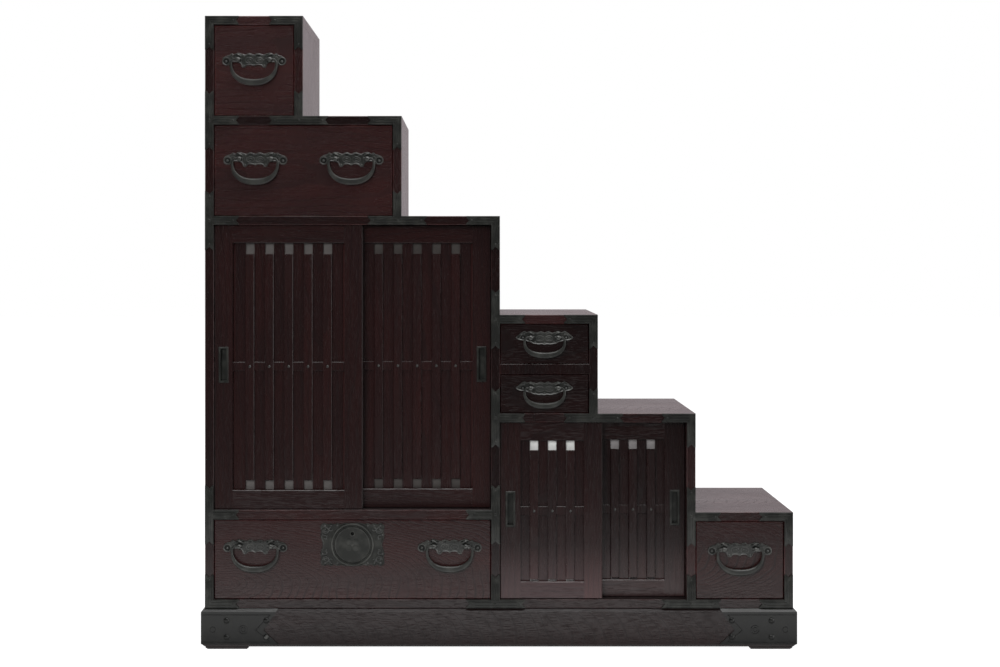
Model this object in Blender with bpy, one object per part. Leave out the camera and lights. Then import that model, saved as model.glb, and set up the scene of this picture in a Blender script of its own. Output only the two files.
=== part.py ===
# A step chest: one carcass of boards whose right-hand side climbs in six steps, with six drawers,
# two pairs of lattice sliding doors, iron corner straps and hanging bails, on a low base.
# Metres, +Z up. The front looks towards -Y, and the origin is on the floor under the middle.

import bmesh
import bpy
from math import cos, pi, radians, sin
from mathutils import Matrix, Vector

# The staircase: how far each step runs, how far each step's edge stands beyond an even run, and how
# far each step rises above the one below.
step_count = 6
tread_run = 0.200
edge_shifts = (0, 0, 0.0013, 0.0019, 0.0018, 0.0012, 0)
bottom_rise = 0.196
middle_rise = 0.2015
upper_rise = 0.2042
case_depth = 0.390
board = 0.018
back_thick = 0.006
back_inset = 0.002
fit = 0.0003
overrun = 0.010

# The base, its feet and its corner irons.
base_height = 0.078
base_lip = 0.005
base_bevel = 0.007
base_lower_bevel = 0.005
base_rail = 0.032
foot_height = 0.0062
foot_length = 0.088
foot_setback = 0.006
foot_chamfer = 0.004
base_iron_thick = 0.002
base_iron_arm = 0.155
base_iron_notch = 0.030
base_iron_notch_height = 0.041
base_iron_foot_gap = 0.006

# The irons on the front edges of the boards reach this far from the middle of each joint,
# and a notch in each arm's end leaves two points.
iron_reach = 0.060
iron_thick = 0.0025
iron_notch = 0.006
iron_point = 0.0025
iron_seat = 0.0005
iron_chamfer = 0.0006
arris = 0.0008

# Heights inside the case.
wide_drawer_room = 0.163
shelf_thick = 0.020
small_upper_room = 0.0825
divider_thick = 0.0205
divider_tenon = 0.006

# Drawers.
drawer_inset = 0.0015
drawer_reveal = 0.0015
drawer_front_thick = 0.018
drawer_arris = 0.0012
tray_wall = 0.009
tray_floor = 0.006
tray_headroom = 0.012
tray_back_room = 0.010
tray_side_play = 0.0015

# How far the bails' axis lies below the top of each drawer's room.
top_axis_below = 0.0705
second_axis_below = 0.0688
wide_axis_below = 0.0535
small_axis_below = 0.0280
low_axis_below = 0.0568
handle_from_end = 0.0845

# Bail handles. A bail hangs in two eyes, which stand on a lobed plate.
plate_thick = 0.002
eye_radius = 0.0048
eye_rounding = 0.0014
eye_hole_radius = 0.0026
eye_cap = 0.0045
eye_sides = 10
handle_reach = 0.0085
boss_radius = 0.0045
boss_rise = 0.0018
boss_chamfer = 0.0012
boss_drop = 0.0025
boss_sides = 8
pin_radius = 0.0021
pin_inner_end = 0.0075
eye_side_gap = 0.0008
arm_drop = 0.009
arm_half = 0.0026
grip_half_depth = 0.0043
grip_swell_power = 1.5
bail_squareness = 2.3
bail_sides = 8
bail_steps = 16
bend_steps = 3

# Half outlines of the plates, as shares of half the width and of the height, top middle to
# bottom middle. Heights are counted from the axis of the eyes.
large_plate_shares = (
    (0.00, 0.32), (0.08, 0.40), (0.15, 0.43), (0.22, 0.38), (0.28, 0.33), (0.37, 0.38),
    (0.49, 0.45), (0.57, 0.41), (0.62, 0.33), (0.69, 0.41), (0.77, 0.29), (0.87, 0.23),
    (0.96, 0.13), (1.00, -0.06), (0.97, -0.27), (0.87, -0.40), (0.76, -0.33), (0.70, -0.17),
    (0.58, -0.15), (0.46, -0.23), (0.40, -0.35), (0.38, -0.51), (0.31, -0.55), (0.17, -0.49),
    (0.00, -0.55),
)
small_plate_shares = (
    (0.00, 0.37), (0.08, 0.44), (0.14, 0.47), (0.28, 0.36), (0.38, 0.41), (0.49, 0.48),
    (0.60, 0.39), (0.69, 0.48), (0.79, 0.39), (0.89, 0.21), (1.00, 0.01), (0.95, -0.13),
    (0.86, -0.22), (0.72, -0.24), (0.58, -0.31), (0.48, -0.35), (0.41, -0.44), (0.29, -0.46),
    (0.19, -0.50), (0.09, -0.47), (0.00, -0.49),
)

# The two patterns of handle: the plate, the spacing of its eyes, and the bail's outer sizes.
large_handle = dict(
    outline=large_plate_shares, width=0.131, height=0.030, eyes=0.065, bosses=0.112,
    bail_width=0.098, bail_drop=0.055, grip_half=0.0075,
)
small_handle = dict(
    outline=small_plate_shares, width=0.117, height=0.027, eyes=0.0565, bosses=0.089,
    bail_width=0.087, bail_drop=0.044, grip_half=0.0064,
)

# The lock plate of the wide drawer: a scalloped sheet with a raised double ring and a keyhole.
lock_width = 0.132
lock_height = 0.088
lock_thick = 0.002
lock_below_room = 0.051
lock_corner = 0.010
lock_side_dip = 0.005
lock_ring_radius = 0.0425
lock_inner_ring_radius = 0.0345
lock_ring_width = 0.0032
lock_ring_rise = 0.0028
ring_shoulder_share = 0.6
ring_crown_share = 0.5
lock_disc_rise = 0.0012
keyhole_radius = 0.003
keyhole_above_centre = 0.0225
ring_sides = 40

# Sliding doors. Each pair runs in two grooves above and two below, a front one and a rear one.
door_inset = 0.004
door_thick = 0.020
door_gap = 0.003
door_side_play = 0.0008
door_top_play = 0.001
groove_depth_above = 0.008
groove_depth_below = 0.004
tongue_thick = 0.009
tongue_play = 0.0006
tongue_headroom = 0.0012
door_chamfer = 0.001
lattice_thick = 0.004
strip_setback = 0.0015
strip_chamfer = 0.0011
rail_chamfer = 0.0015
lap = 0.0005
tenon = 0.008
panel_thick = 0.003
mid_rail_height = 0.0184

big_door = dict(
    pull_stile=0.037, meeting_stile=0.037, overlap=0.0405, top_rail=0.0359, bottom_rail=0.0385,
    strips=5, strip_width=0.018, slat_width=0.0217, square_above=0.0223, square_below=0.020,
    pull_above_middle=0.0036,
)
small_door = dict(
    pull_stile=0.0415, meeting_stile=0.0375, overlap=0.0375, top_rail=0.0370, bottom_rail=0.0345,
    strips=3, strip_width=0.0176, slat_width=0.0195, square_above=0.0197, square_below=0.004,
    pull_above_middle=0.0042,
)

# Finger pulls let into the outer stile of each door.
pull_width = 0.020
pull_height = 0.073
pull_rim = 0.0040
pull_flange_chamfer = 0.0008
pull_flange = 0.0016
pull_flange_width = 0.0020
pull_depth = 0.0105
pull_floor = 0.0015

# Places that follow from the sizes above.
case_width = step_count * tread_run
case_left = -case_width / 2
case_bottom = foot_height + base_height
front_reach = handle_reach + grip_half_depth - drawer_inset
case_front = front_reach - (front_reach + case_depth) / 2
case_back = case_front + case_depth
board_back = case_back - back_thick - fit
board_top = case_bottom + board
rises = (bottom_rise, middle_rise, middle_rise, middle_rise, upper_rise, upper_rise)
half_board = board / 2
shelf_bottom = board_top + wide_drawer_room
shelf_top = shelf_bottom + shelf_thick
drawer_face = case_front + drawer_inset


def step_edge(step):
    """The right-hand edge of a step, counted from the highest."""
    return case_left + step * tread_run + edge_shifts[step]


def step_top(step):
    """The height of a step's top face, counted from the highest."""
    return case_bottom + sum(rises[: step_count + 1 - step])


divider_top = step_top(4) - board - small_upper_room
divider_bottom = divider_top - divider_thick


def clear_scene():
    for item in list(bpy.data.objects):
        bpy.data.objects.remove(item, do_unlink=True)


def finish_named(name, colour, roughness, metallic):
    """A plain Principled finish."""
    finish = bpy.data.materials.new(name)
    finish.use_nodes = True
    shader = finish.node_tree.nodes["Principled BSDF"]
    shader.inputs["Base Color"].default_value = (*colour, 1)
    shader.inputs["Roughness"].default_value = roughness
    shader.inputs["Metallic"].default_value = metallic
    finish.diffuse_color = (*colour, 1)
    return finish


def carrier_at(name, place):
    """An empty that carries the pieces of one body."""
    carrier = bpy.data.objects.new(name, None)
    carrier.location = place
    carrier.empty_display_size = board
    bpy.context.collection.objects.link(carrier)
    return carrier


def block(low, high):
    """A rectangular bar between two corners."""
    shape = bmesh.new()
    bmesh.ops.create_cube(shape, size=1)
    size = Vector(high) - Vector(low)
    bmesh.ops.scale(shape, vec=size, verts=shape.verts)
    bmesh.ops.translate(shape, vec=Vector(low) + size / 2, verts=shape.verts)
    return shape


def chamfer(shape, width, edges, segments=1):
    """Takes the sharpness off the given edges."""
    bmesh.ops.bevel(
        shape, geom=edges, offset=width, offset_type="OFFSET",
        segments=segments, profile=0.5, affect="EDGES", material=-1, clamp_overlap=True,
    )
    return shape


def ahead_of(shape, level):
    """The edges that lie wholly in front of a level."""
    return [edge for edge in shape.edges if all(vert.co.y < level for vert in edge.verts)]


def below(shape, level):
    """The edges that lie wholly below a level."""
    return [edge for edge in shape.edges if all(vert.co.z < level for vert in edge.verts)]


def slab(outline, axis, low, high):
    """A closed outline across two axes, made solid from low to high along the third."""
    shape = bmesh.new()
    place = {
        "X": lambda a, b: (low, a, b),
        "Y": lambda a, b: (a, low, b),
        "Z": lambda a, b: (a, b, low),
    }[axis]
    face = shape.faces.new([shape.verts.new(place(a, b)) for a, b in outline])
    raised = bmesh.ops.extrude_face_region(shape, geom=[face])
    moved = [item for item in raised["geom"] if isinstance(item, bmesh.types.BMVert)]
    shift = Vector([(high - low) * (letter == axis) for letter in "XYZ"])
    bmesh.ops.translate(shape, vec=shift, verts=moved)
    bmesh.ops.dissolve_limit(
        shape, angle_limit=radians(1), verts=shape.verts, edges=shape.edges)
    return shape


def rod(centre, axis, radius, low, high, sides):
    """A round bar along an axis, centred on two coordinates across it."""
    turn = [2 * pi * (side + 0.5) / sides for side in range(sides)]
    outline = [(centre[0] + radius * cos(a), centre[1] + radius * sin(a)) for a in turn]
    return slab(outline, axis, low, high)


def hang(name, shape, carrier, finish=None):
    """Makes the shape an object on its carrier, whose place becomes the object's origin."""
    bmesh.ops.recalc_face_normals(shape, faces=shape.faces)
    mesh = bpy.data.meshes.new(name)
    shape.to_mesh(mesh)
    shape.free()
    mesh.transform(Matrix.Translation(-carrier.location))
    piece = bpy.data.objects.new(name, mesh)
    piece.parent = carrier
    bpy.context.collection.objects.link(piece)
    if finish:
        mesh.materials.append(finish)
    return piece


def worked(piece, shape, operation, finish=None):
    """Combines the piece with the shape by a Boolean."""
    helper = hang(f"{piece.name}_{operation.lower()}", shape, piece.parent, finish)
    helper.hide_render = True
    helper.display_type = "WIRE"
    step = piece.modifiers.new(helper.name, "BOOLEAN")
    step.operation = operation
    step.solver = "EXACT"
    step.material_mode = "TRANSFER"
    step.object = helper


def cut(piece, shape):
    worked(piece, shape, "DIFFERENCE")


def join(piece, shape, finish=None):
    worked(piece, shape, "UNION", finish)


def smooth(piece, angle=35):
    piece.data.shade_smooth()
    piece.data.set_sharp_from_angle(angle=radians(angle))


def ironed_stretches(low, high, joints):
    """The stretches of a board's front edge that are covered by the irons of its joints."""
    stretches = []
    for joint in sorted(joints):
        start, end = max(low, joint - iron_reach), min(high, joint + iron_reach)
        if stretches and start <= stretches[-1][1]:
            start = stretches.pop()[0]
        stretches.append((start, end))
    return stretches


def arm_end(tip, sense, free, middle, thick):
    """The points across one end of an iron. A free end is notched, and another lies by the joint."""
    half = thick / 2
    if not free:
        return [(tip - sense * fit, middle - half), (tip - sense * fit, middle + half)]
    shoulder = half - iron_point
    return [
        (tip, middle - half), (tip, middle - shoulder), (tip - sense * iron_notch, middle),
        (tip, middle + shoulder), (tip, middle + half)]


def iron_outlines(low, high, joints, middle, thick):
    """The outlines of a board's irons, given along the board and across its edge."""
    outlines = []
    for start, end in ironed_stretches(low, high, joints):
        right = arm_end(end, 1, end < high, middle, thick)
        left = arm_end(start, -1, start > low, middle, thick)
        outlines.append(right + left[::-1])
    return outlines


def front_edges(shape, axis):
    """The front edges of a board that run along an axis."""
    number = "XYZ".index(axis)
    ahead = ahead_of(shape, case_front + fit)
    return [edge for edge in ahead if abs(edge.verts[0].co[number] - edge.verts[1].co[number]) > fit]


def shoe(piece, outlines, iron):
    """Joins the irons on a board's front edge."""
    proud = case_front - iron_thick
    for outline in outlines:
        sheet = slab(outline, "Y", proud, case_front + iron_seat)
        join(piece, chamfer(sheet, iron_chamfer, ahead_of(sheet, proud + fit)), iron)
    return piece


def lying_board(name, low, high, bottom, top, joints, case, finishes):
    wood, iron = finishes
    shape = block((low, case_front, bottom), (high, board_back, top))
    piece = hang(name, chamfer(shape, arris, front_edges(shape, "X")), case, wood)
    return shoe(piece, iron_outlines(low, high, joints, (bottom + top) / 2, top - bottom), iron)


def standing_board(name, right, bottom, top, joints, case, finishes):
    wood, iron = finishes
    shape = block((right - board, case_front, bottom), (right, board_back, top))
    piece = hang(name, chamfer(shape, arris, front_edges(shape, "Z")), case, wood)
    outlines = iron_outlines(bottom, top, joints, right - half_board, board)
    return shoe(piece, [[(x, z) for z, x in outline] for outline in outlines], iron)


def door_centre(track):
    """The middle of a door's thickness on the front track, 0, or the rear one, 1."""
    return case_front + door_inset + door_thick / 2 + track * (door_thick + door_gap)


def groove(piece, left, right, mouth, floor):
    """Cuts the front and rear door grooves from a board's face down, or up, to their floor."""
    half = tongue_thick / 2 + tongue_play
    past = mouth + overrun if floor < mouth else mouth - overrun
    for track in (0, 1):
        middle = door_centre(track)
        cut(piece, block(
            (left + fit, middle - half, min(past, floor)),
            (right - fit, middle + half, max(past, floor))))


def make_sides(case, finishes):
    """The upright boards, each standing between the tread below it and the one on its head."""
    bottom_joint = case_bottom + half_board
    shelf_joint = shelf_bottom + shelf_thick / 2
    tops = {step: step_top(step) - half_board for step in range(1, step_count + 1)}
    foot = board_top + fit

    def side(name, right, bottom, step, joints):
        top = step_top(step) - board - fit
        return standing_board(name, right, bottom, top, joints, case, finishes)

    side("left_side", case_left + board, foot, 1,
         [bottom_joint, shelf_joint, tops[3], tops[2], tops[1]])
    side("step_1_side", step_edge(1), step_top(2) + fit, 1, [tops[2], tops[1]])
    side("step_2_side", step_edge(2), step_top(3) + fit, 2, [tops[3], tops[2]])
    side("middle_side", step_edge(3), foot, 3,
         [bottom_joint, shelf_joint, tops[5], tops[4], tops[3]])
    fourth = side("step_4_side", step_edge(4), step_top(5) + fit, 4, [tops[5], tops[4]])
    divider = block(
        (step_edge(3) + fit, case_front, divider_bottom),
        (step_edge(4) - board + divider_tenon, board_back - fit, divider_top))
    join(fourth, chamfer(divider, arris, front_edges(divider, "X")))
    side("step_5_side", step_edge(5), foot, 5, [bottom_joint, tops[6], tops[5]])
    side("step_6_side", step_edge(6), foot, 6, [bottom_joint, tops[6]])


def make_treads(case, finishes):
    """The six treads, the shelf and the bottom board, with the grooves that the doors run in."""
    joint = {step: step_edge(step) - half_board for step in range(1, step_count + 1)}
    left_joint = case_left + half_board
    inner_left = case_left + board + fit

    def tread(step, low, joints):
        top = step_top(step)
        name = f"step_{step}_tread"
        return lying_board(name, low, step_edge(step), top - board, top, joints, case, finishes)

    tread(1, case_left, [left_joint, joint[1]])
    tread(2, inner_left, [left_joint, joint[1], joint[2]])
    third = tread(3, inner_left, [left_joint, joint[2], joint[3]])
    tread(4, step_edge(3) + fit, [joint[3], joint[4]])
    fifth = tread(5, step_edge(3) + fit, [joint[3], joint[4], joint[5]])
    tread(6, step_edge(5) + fit, [joint[5], joint[6]])
    shelf = lying_board(
        "cupboard_shelf", inner_left, step_edge(3) - board - fit, shelf_bottom, shelf_top,
        [left_joint, joint[3]], case, finishes)
    bottom = lying_board(
        "bottom_board", case_left, step_edge(6), case_bottom + fit, board_top,
        [left_joint, joint[3], joint[5], joint[6]], case, finishes)

    big_left, big_right = case_left + board, step_edge(3) - board
    small_left, small_right = step_edge(3), step_edge(5) - board
    big_ceiling, small_ceiling = step_top(3) - board, step_top(5) - board
    groove(third, big_left, big_right, big_ceiling, big_ceiling + groove_depth_above)
    groove(shelf, big_left, big_right, shelf_top, shelf_top - groove_depth_below)
    groove(fifth, small_left, small_right, small_ceiling, small_ceiling + groove_depth_above)
    groove(bottom, small_left, small_right, board_top, board_top - groove_depth_below)


def make_back(case, wood):
    """One stepped sheet, nailed on the back edges of the boards."""
    bottom = case_bottom + back_inset
    left = case_left + back_inset
    outline = [(left, bottom), (step_edge(step_count) - back_inset, bottom)]
    for step in range(step_count, 0, -1):
        top = step_top(step) - back_inset
        start = left if step == 1 else step_edge(step - 1) - back_inset
        outline += [(step_edge(step) - back_inset, top), (start, top)]
    hang("back_panel", slab(outline, "Y", case_back - back_thick, case_back), case, wood)


def base_block(grow, bevel, top, bottom):
    """The base's outer form, grown outwards on three sides, with the upper edges there sloped."""
    reach = base_lip + grow
    shape = block(
        (case_left - reach, case_front - reach, bottom),
        (case_left + case_width + reach, case_back, top))
    upper = [edge for edge in shape.edges if all(vert.co.z > top - fit for vert in edge.verts)]
    return chamfer(shape, bevel, off_the_back(upper))


def off_the_back(edges):
    """Those of the edges that don't run along the back."""
    level = case_back - fit
    return [edge for edge in edges if any(vert.co.y < level for vert in edge.verts)]


def make_base(case, wood):
    """Four rails round an open middle, on a pad under each corner."""
    form = base_block(0, base_bevel, case_bottom, foot_height)
    chamfer(form, base_lower_bevel, off_the_back(below(form, foot_height + fit)))
    base = hang("base_frame", form, case, wood)
    left, right = case_left - base_lip, case_left + case_width + base_lip
    front = case_front - base_lip
    cut(base, block(
        (left + base_rail, front + base_rail, foot_height - overrun),
        (right - base_rail, case_back - base_rail, case_bottom + overrun)))
    for start in (left + foot_setback, right - foot_setback - foot_length):
        for near in (front + foot_setback, case_back - base_rail):
            pad = block(
                (start, near, 0),
                (start + foot_length, near + base_rail - foot_setback, foot_height + foot_chamfer))
            join(base, chamfer(pad, foot_chamfer, below(pad, fit)))


def swallow_tail(corner, sense, bottom, top):
    """The outline of an iron's arm: a long leaf with a notch cut into its end."""
    end = corner + sense * base_iron_arm
    tip = end - sense * base_iron_notch
    outer = corner - sense * overrun
    return [
        (outer, bottom), (end, bottom), (tip, base_iron_notch_height), (end, top), (outer, top)]


def make_base_irons(case, iron):
    """Sheet irons folded round the two front corners of the base and over its sloped edge."""
    bottom = foot_height + base_iron_foot_gap
    growth = fit + base_iron_thick
    slope = base_bevel - base_iron_thick * (2 ** 0.5 - 1)
    depth = base_lip + base_bevel + growth
    front = case_front - base_lip
    for name, sense in (("left", 1), ("right", -1)):
        corner = sense * (case_left - base_lip)
        outer = corner - sense * (growth + overrun)
        inner = corner + sense * depth
        piece = hang(f"base_iron_{name}", slab(
            swallow_tail(corner, sense, bottom, case_bottom - fit),
            "Y", front - growth - overrun, front + depth), case, iron)
        join(piece, slab(
            swallow_tail(front, 1, bottom, case_bottom - fit),
            "X", min(outer, inner), max(outer, inner)))
        worked(piece, base_block(growth, slope, case_bottom, foot_height), "INTERSECT")
        cut(piece, base_block(fit, base_bevel, case_bottom + fit, foot_height - overrun))


def closed_outline(shares, width, height):
    """A half outline in shares, mirrored to a whole one in real sizes."""
    half = [(x * width / 2, z * height) for x, z in shares]
    return half + [(-x, z) for x, z in reversed(half[1:-1])]


def make_plate(name, kind, middle, axis_z, carrier, iron):
    """A handle's sheet plate with the two eyes that its bail hangs in."""
    back = drawer_face - fit
    front = back - plate_thick
    pivot = drawer_face - handle_reach
    tip = pivot - eye_cap
    outline = closed_outline(kind["outline"], kind["width"], kind["height"])
    shape = slab([(middle + x, axis_z + z) for x, z in outline], "Y", front, back)
    plate = hang(name, shape, carrier, iron)
    for x in (middle - kind["eyes"] / 2, middle + kind["eyes"] / 2):
        eye = rod((x, axis_z), "Y", eye_radius, tip, back - plate_thick / 2, eye_sides)
        join(plate, chamfer(eye, eye_rounding, ahead_of(eye, tip + fit), 2))
        past = eye_radius + overrun / 2
        cut(plate, rod((pivot, axis_z), "X", eye_hole_radius, x - past, x + past, eye_sides))
    for x in (middle - kind["bosses"] / 2, middle + kind["bosses"] / 2):
        crown = front - boss_rise
        boss = rod(
            (x, axis_z - boss_drop), "Y", boss_radius, crown, back - plate_thick / 2, boss_sides)
        join(plate, chamfer(boss, boss_chamfer, ahead_of(boss, crown + fit)))
    smooth(plate)


def bail_sections(kind):
    """The centre line of a bail from its right-hand pin to its left, with each section's sizes."""
    eye = kind["eyes"] / 2
    arm = kind["bail_width"] / 2 - arm_half
    bend = eye + eye_radius + eye_side_gap + pin_radius
    sweep = kind["bail_drop"] - kind["grip_half"] - arm_drop
    right = [(eye - pin_inner_end, 0, pin_radius, pin_radius), (bend, 0, pin_radius, pin_radius)]
    for step in range(1, bend_steps):
        turn = step / bend_steps * pi / 2
        size = pin_radius + (arm_half - pin_radius) * step / bend_steps
        right.append((bend + (arm - bend) * sin(turn), arm_drop * (cos(turn) - 1), size, size))
    middle = []
    for step in range(bail_steps + 1):
        turn = pi * step / bail_steps
        across = abs(cos(turn)) ** (2 / bail_squareness) * (1 if turn < pi / 2 else -1)
        down = abs(sin(turn)) ** (2 / bail_squareness)
        swell = abs(sin(turn)) ** grip_swell_power
        middle.append((
            arm * across, -arm_drop - sweep * down,
            arm_half + (kind["grip_half"] - arm_half) * swell,
            arm_half + (grip_half_depth - arm_half) * swell))
    left = [(-x, z, wide, deep) for x, z, wide, deep in reversed(right)]
    return right + middle + left


def make_bail(name, kind, place, parent, iron):
    """A forged crescent grip whose thin ends hook into the eyes. Its origin is on its hinge axis."""
    line = bail_sections(kind)
    shape = bmesh.new()
    rings = []
    for n, (x, z, wide, deep) in enumerate(line):
        before, after = line[max(n - 1, 0)], line[min(n + 1, len(line) - 1)]
        along = Vector((after[0] - before[0], 0, after[1] - before[1])).normalized()
        across = Vector((-along.z, 0, along.x))
        ring = []
        for side in range(bail_sides):
            turn = 2 * pi * (side + 0.5) / bail_sides
            offset = across * wide * cos(turn) + Vector((0, deep * sin(turn), 0))
            ring.append(shape.verts.new(Vector(place) + Vector((x, 0, z)) + offset))
        rings.append(ring)
    for ring, after in zip(rings, rings[1:]):
        for side in range(bail_sides):
            other = (side + 1) % bail_sides
            shape.faces.new((ring[side], ring[other], after[other], after[side]))
    shape.faces.new(rings[0])
    shape.faces.new(rings[-1])
    axis = carrier_at(f"{name}_axis", place)
    smooth(hang(name, shape, axis, iron), 50)
    axis.parent = parent
    axis.location = Vector(place) - parent.location


def make_handle(name, kind, middle, axis_z, carrier, iron):
    make_plate(f"{name}_plate", kind, middle, axis_z, carrier, iron)
    make_bail(f"{name}_bail", kind, (middle, drawer_face - handle_reach, axis_z), carrier, iron)


def lock_outline(middle, centre_z):
    """A rectangle with hollowed corners, its sides dipping between their middle and the corners."""
    across, up, corner, dip = lock_width / 2, lock_height / 2, lock_corner, lock_side_dip
    quarter = [
        (across, 0), (across - dip, dip), (across - dip / 2, up - 2 * corner),
        (across, up - corner), (across - corner / 2, up - corner / 2), (across - corner, up),
        (across - 2 * corner, up - dip / 2), (2 * dip, up - dip), (0, up),
    ]
    half = quarter + [(-x, z) for x, z in reversed(quarter[:-1])]
    whole = half + [(x, -z) for x, z in reversed(half[1:-1])]
    return [(middle + x, centre_z + z) for x, z in whole]


def raised_ring(middle, centre_z, radius, level, rise):
    """A raised ring of rounded section, turned about the plate's normal."""
    half = lock_ring_width / 2
    crown = half * ring_crown_share
    shoulder = rise * ring_shoulder_share
    profile = [(-half, 0), (-half, shoulder), (-crown, rise), (crown, rise), (half, shoulder), (half, 0)]
    shape = bmesh.new()
    verts = [shape.verts.new((middle + radius + x, level - y, centre_z)) for x, y in profile]
    edges = [shape.edges.new(pair) for pair in zip(verts, verts[1:] + verts[:1])]
    bmesh.ops.spin(
        shape, geom=verts + edges, cent=(middle, level, centre_z), axis=(0, 1, 0),
        angle=2 * pi, steps=ring_sides, use_merge=True, use_duplicate=False)
    return shape


def make_lock(carrier, iron):
    """The lock's plate on the middle of the wide drawer."""
    back = drawer_face - fit
    front = back - lock_thick
    level = front + lock_thick / 2
    middle = (case_left + step_edge(3)) / 2
    centre_z = shelf_bottom - lock_below_room
    lock = hang("lock_plate", slab(lock_outline(middle, centre_z), "Y", front, back), carrier, iron)
    join(lock, rod(
        (middle, centre_z), "Y", lock_inner_ring_radius, front - lock_disc_rise, level, ring_sides))
    for radius in (lock_ring_radius, lock_inner_ring_radius):
        join(lock, raised_ring(middle, centre_z, radius, level, lock_ring_rise + lock_thick / 2))
    cut(lock, rod(
        (middle, centre_z + keyhole_above_centre), "Y", keyhole_radius,
        front - overrun, back + overrun, eye_sides))
    smooth(lock)


def make_drawer(name, room, axis_below, handles, finishes):
    """A drawer with its front board, its tray and its handles."""
    wood, inner_wood, iron = finishes
    left, right, bottom, top = room
    carrier = carrier_at(f"{name}_slide", ((left + right) / 2, drawer_face, bottom))
    front = block(
        (left + drawer_reveal, drawer_face, bottom + drawer_reveal),
        (right - drawer_reveal, drawer_face + drawer_front_thick, top - drawer_reveal))
    chamfer(front, drawer_arris, ahead_of(front, drawer_face + fit))
    hang(f"{name}_front", front, carrier, wood)

    low = (left + tray_side_play, drawer_face + drawer_front_thick + fit, bottom + fit)
    high = (right - tray_side_play, board_back - tray_back_room, top - tray_headroom)
    tray = hang(f"{name}_tray", block(low, high), carrier, inner_wood)
    cut(tray, block(
        (low[0] + tray_wall, low[1] - overrun, low[2] + tray_floor),
        (high[0] - tray_wall, high[1] - tray_wall, high[2] + overrun)))

    for number, (kind, middle) in enumerate(handles):
        label = name if len(handles) == 1 else f"{name}_{('left', 'right')[number]}"
        make_handle(label, kind, middle, top - axis_below, carrier, iron)
    return carrier


def make_drawers(finishes):
    """Each drawer fills its room, with one handle in its middle or two near its ends."""
    inner = case_left + board
    first_right, second_right, wide_right = (step_edge(step) - board for step in (1, 2, 3))
    small_left, small_right = step_edge(3), step_edge(4) - board
    low_left, low_right = step_edge(5), step_edge(6) - board

    def single(kind, left, right):
        return [(kind, (left + right) / 2)]

    def pair(left, right):
        return [(large_handle, left + handle_from_end), (large_handle, right - handle_from_end)]

    make_drawer(
        "top_drawer", (inner, first_right, step_top(2), step_top(1) - board), top_axis_below,
        single(large_handle, inner, first_right), finishes)
    make_drawer(
        "second_drawer", (inner, second_right, step_top(3), step_top(2) - board),
        second_axis_below, pair(inner, second_right), finishes)
    wide = make_drawer(
        "wide_drawer", (inner, wide_right, board_top, shelf_bottom), wide_axis_below,
        pair(inner, wide_right), finishes)
    make_lock(wide, finishes[2])
    make_drawer(
        "small_upper_drawer", (small_left, small_right, divider_top, step_top(4) - board),
        small_axis_below, single(small_handle, small_left, small_right), finishes)
    make_drawer(
        "small_lower_drawer", (small_left, small_right, step_top(5), divider_bottom),
        small_axis_below, single(small_handle, small_left, small_right), finishes)
    make_drawer(
        "low_drawer", (low_left, low_right, board_top, step_top(6) - board), low_axis_below,
        single(large_handle, low_left, low_right), finishes)


def make_pull(name, middle, centre_z, face, carrier, iron):
    """An iron cup with a thin flange on the stile's face."""
    half_w, half_h = pull_width / 2, pull_height / 2
    flange, rim = pull_flange_width, pull_rim
    level = face - fit - pull_flange / 2
    pull = hang(name, block(
        (middle - half_w + flange, level, centre_z - half_h + flange),
        (middle + half_w - flange, face + pull_depth, centre_z + half_h - flange)), carrier, iron)
    plate = block(
        (middle - half_w, face - fit - pull_flange, centre_z - half_h),
        (middle + half_w, face - fit, centre_z + half_h))
    join(pull, chamfer(plate, pull_flange_chamfer, ahead_of(plate, level)))
    cut(pull, block(
        (middle - half_w + rim, face - pull_flange - overrun, centre_z - half_h + rim),
        (middle + half_w - rim, face + pull_depth - pull_floor, centre_z + half_h - rim)))


def join_chamfered(frame, low, high):
    """Joins a bar of the lattice to its door, with the edges of its front face eased."""
    bar = block(low, high)
    join(frame, chamfer(bar, strip_chamfer, ahead_of(bar, low[1] + fit)))


def make_lattice(frame, kind, left, right, bottom, top, face):
    """Strips in front, the rail that they cross, and the wide slats behind the gaps between them."""
    strip_front = face + strip_setback
    rail_front = strip_front + lattice_thick - lap
    slat_front = rail_front + lattice_thick - lap
    middle_z = (bottom + top) / 2
    middle_x = (left + right) / 2
    join_chamfered(
        frame, (left - tenon, rail_front, middle_z - mid_rail_height / 2),
        (right + tenon, rail_front + lattice_thick, middle_z + mid_rail_height / 2))
    pitch = kind["strip_width"] + kind["slat_width"]
    for number in range(kind["strips"] + 1):
        x = middle_x + (number - kind["strips"] / 2) * pitch
        half = kind["slat_width"] / 2
        join(frame, block(
            (x - half, slat_front, bottom - tenon),
            (x + half, slat_front + lattice_thick, top + tenon)))
    for number in range(kind["strips"]):
        x = middle_x + (number - (kind["strips"] - 1) / 2) * pitch
        half = kind["strip_width"] / 2
        join_chamfered(
            frame, (x - half, strip_front, bottom + kind["square_below"]),
            (x + half, strip_front + lattice_thick, top - kind["square_above"]))
    return slat_front + lattice_thick + fit


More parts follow.
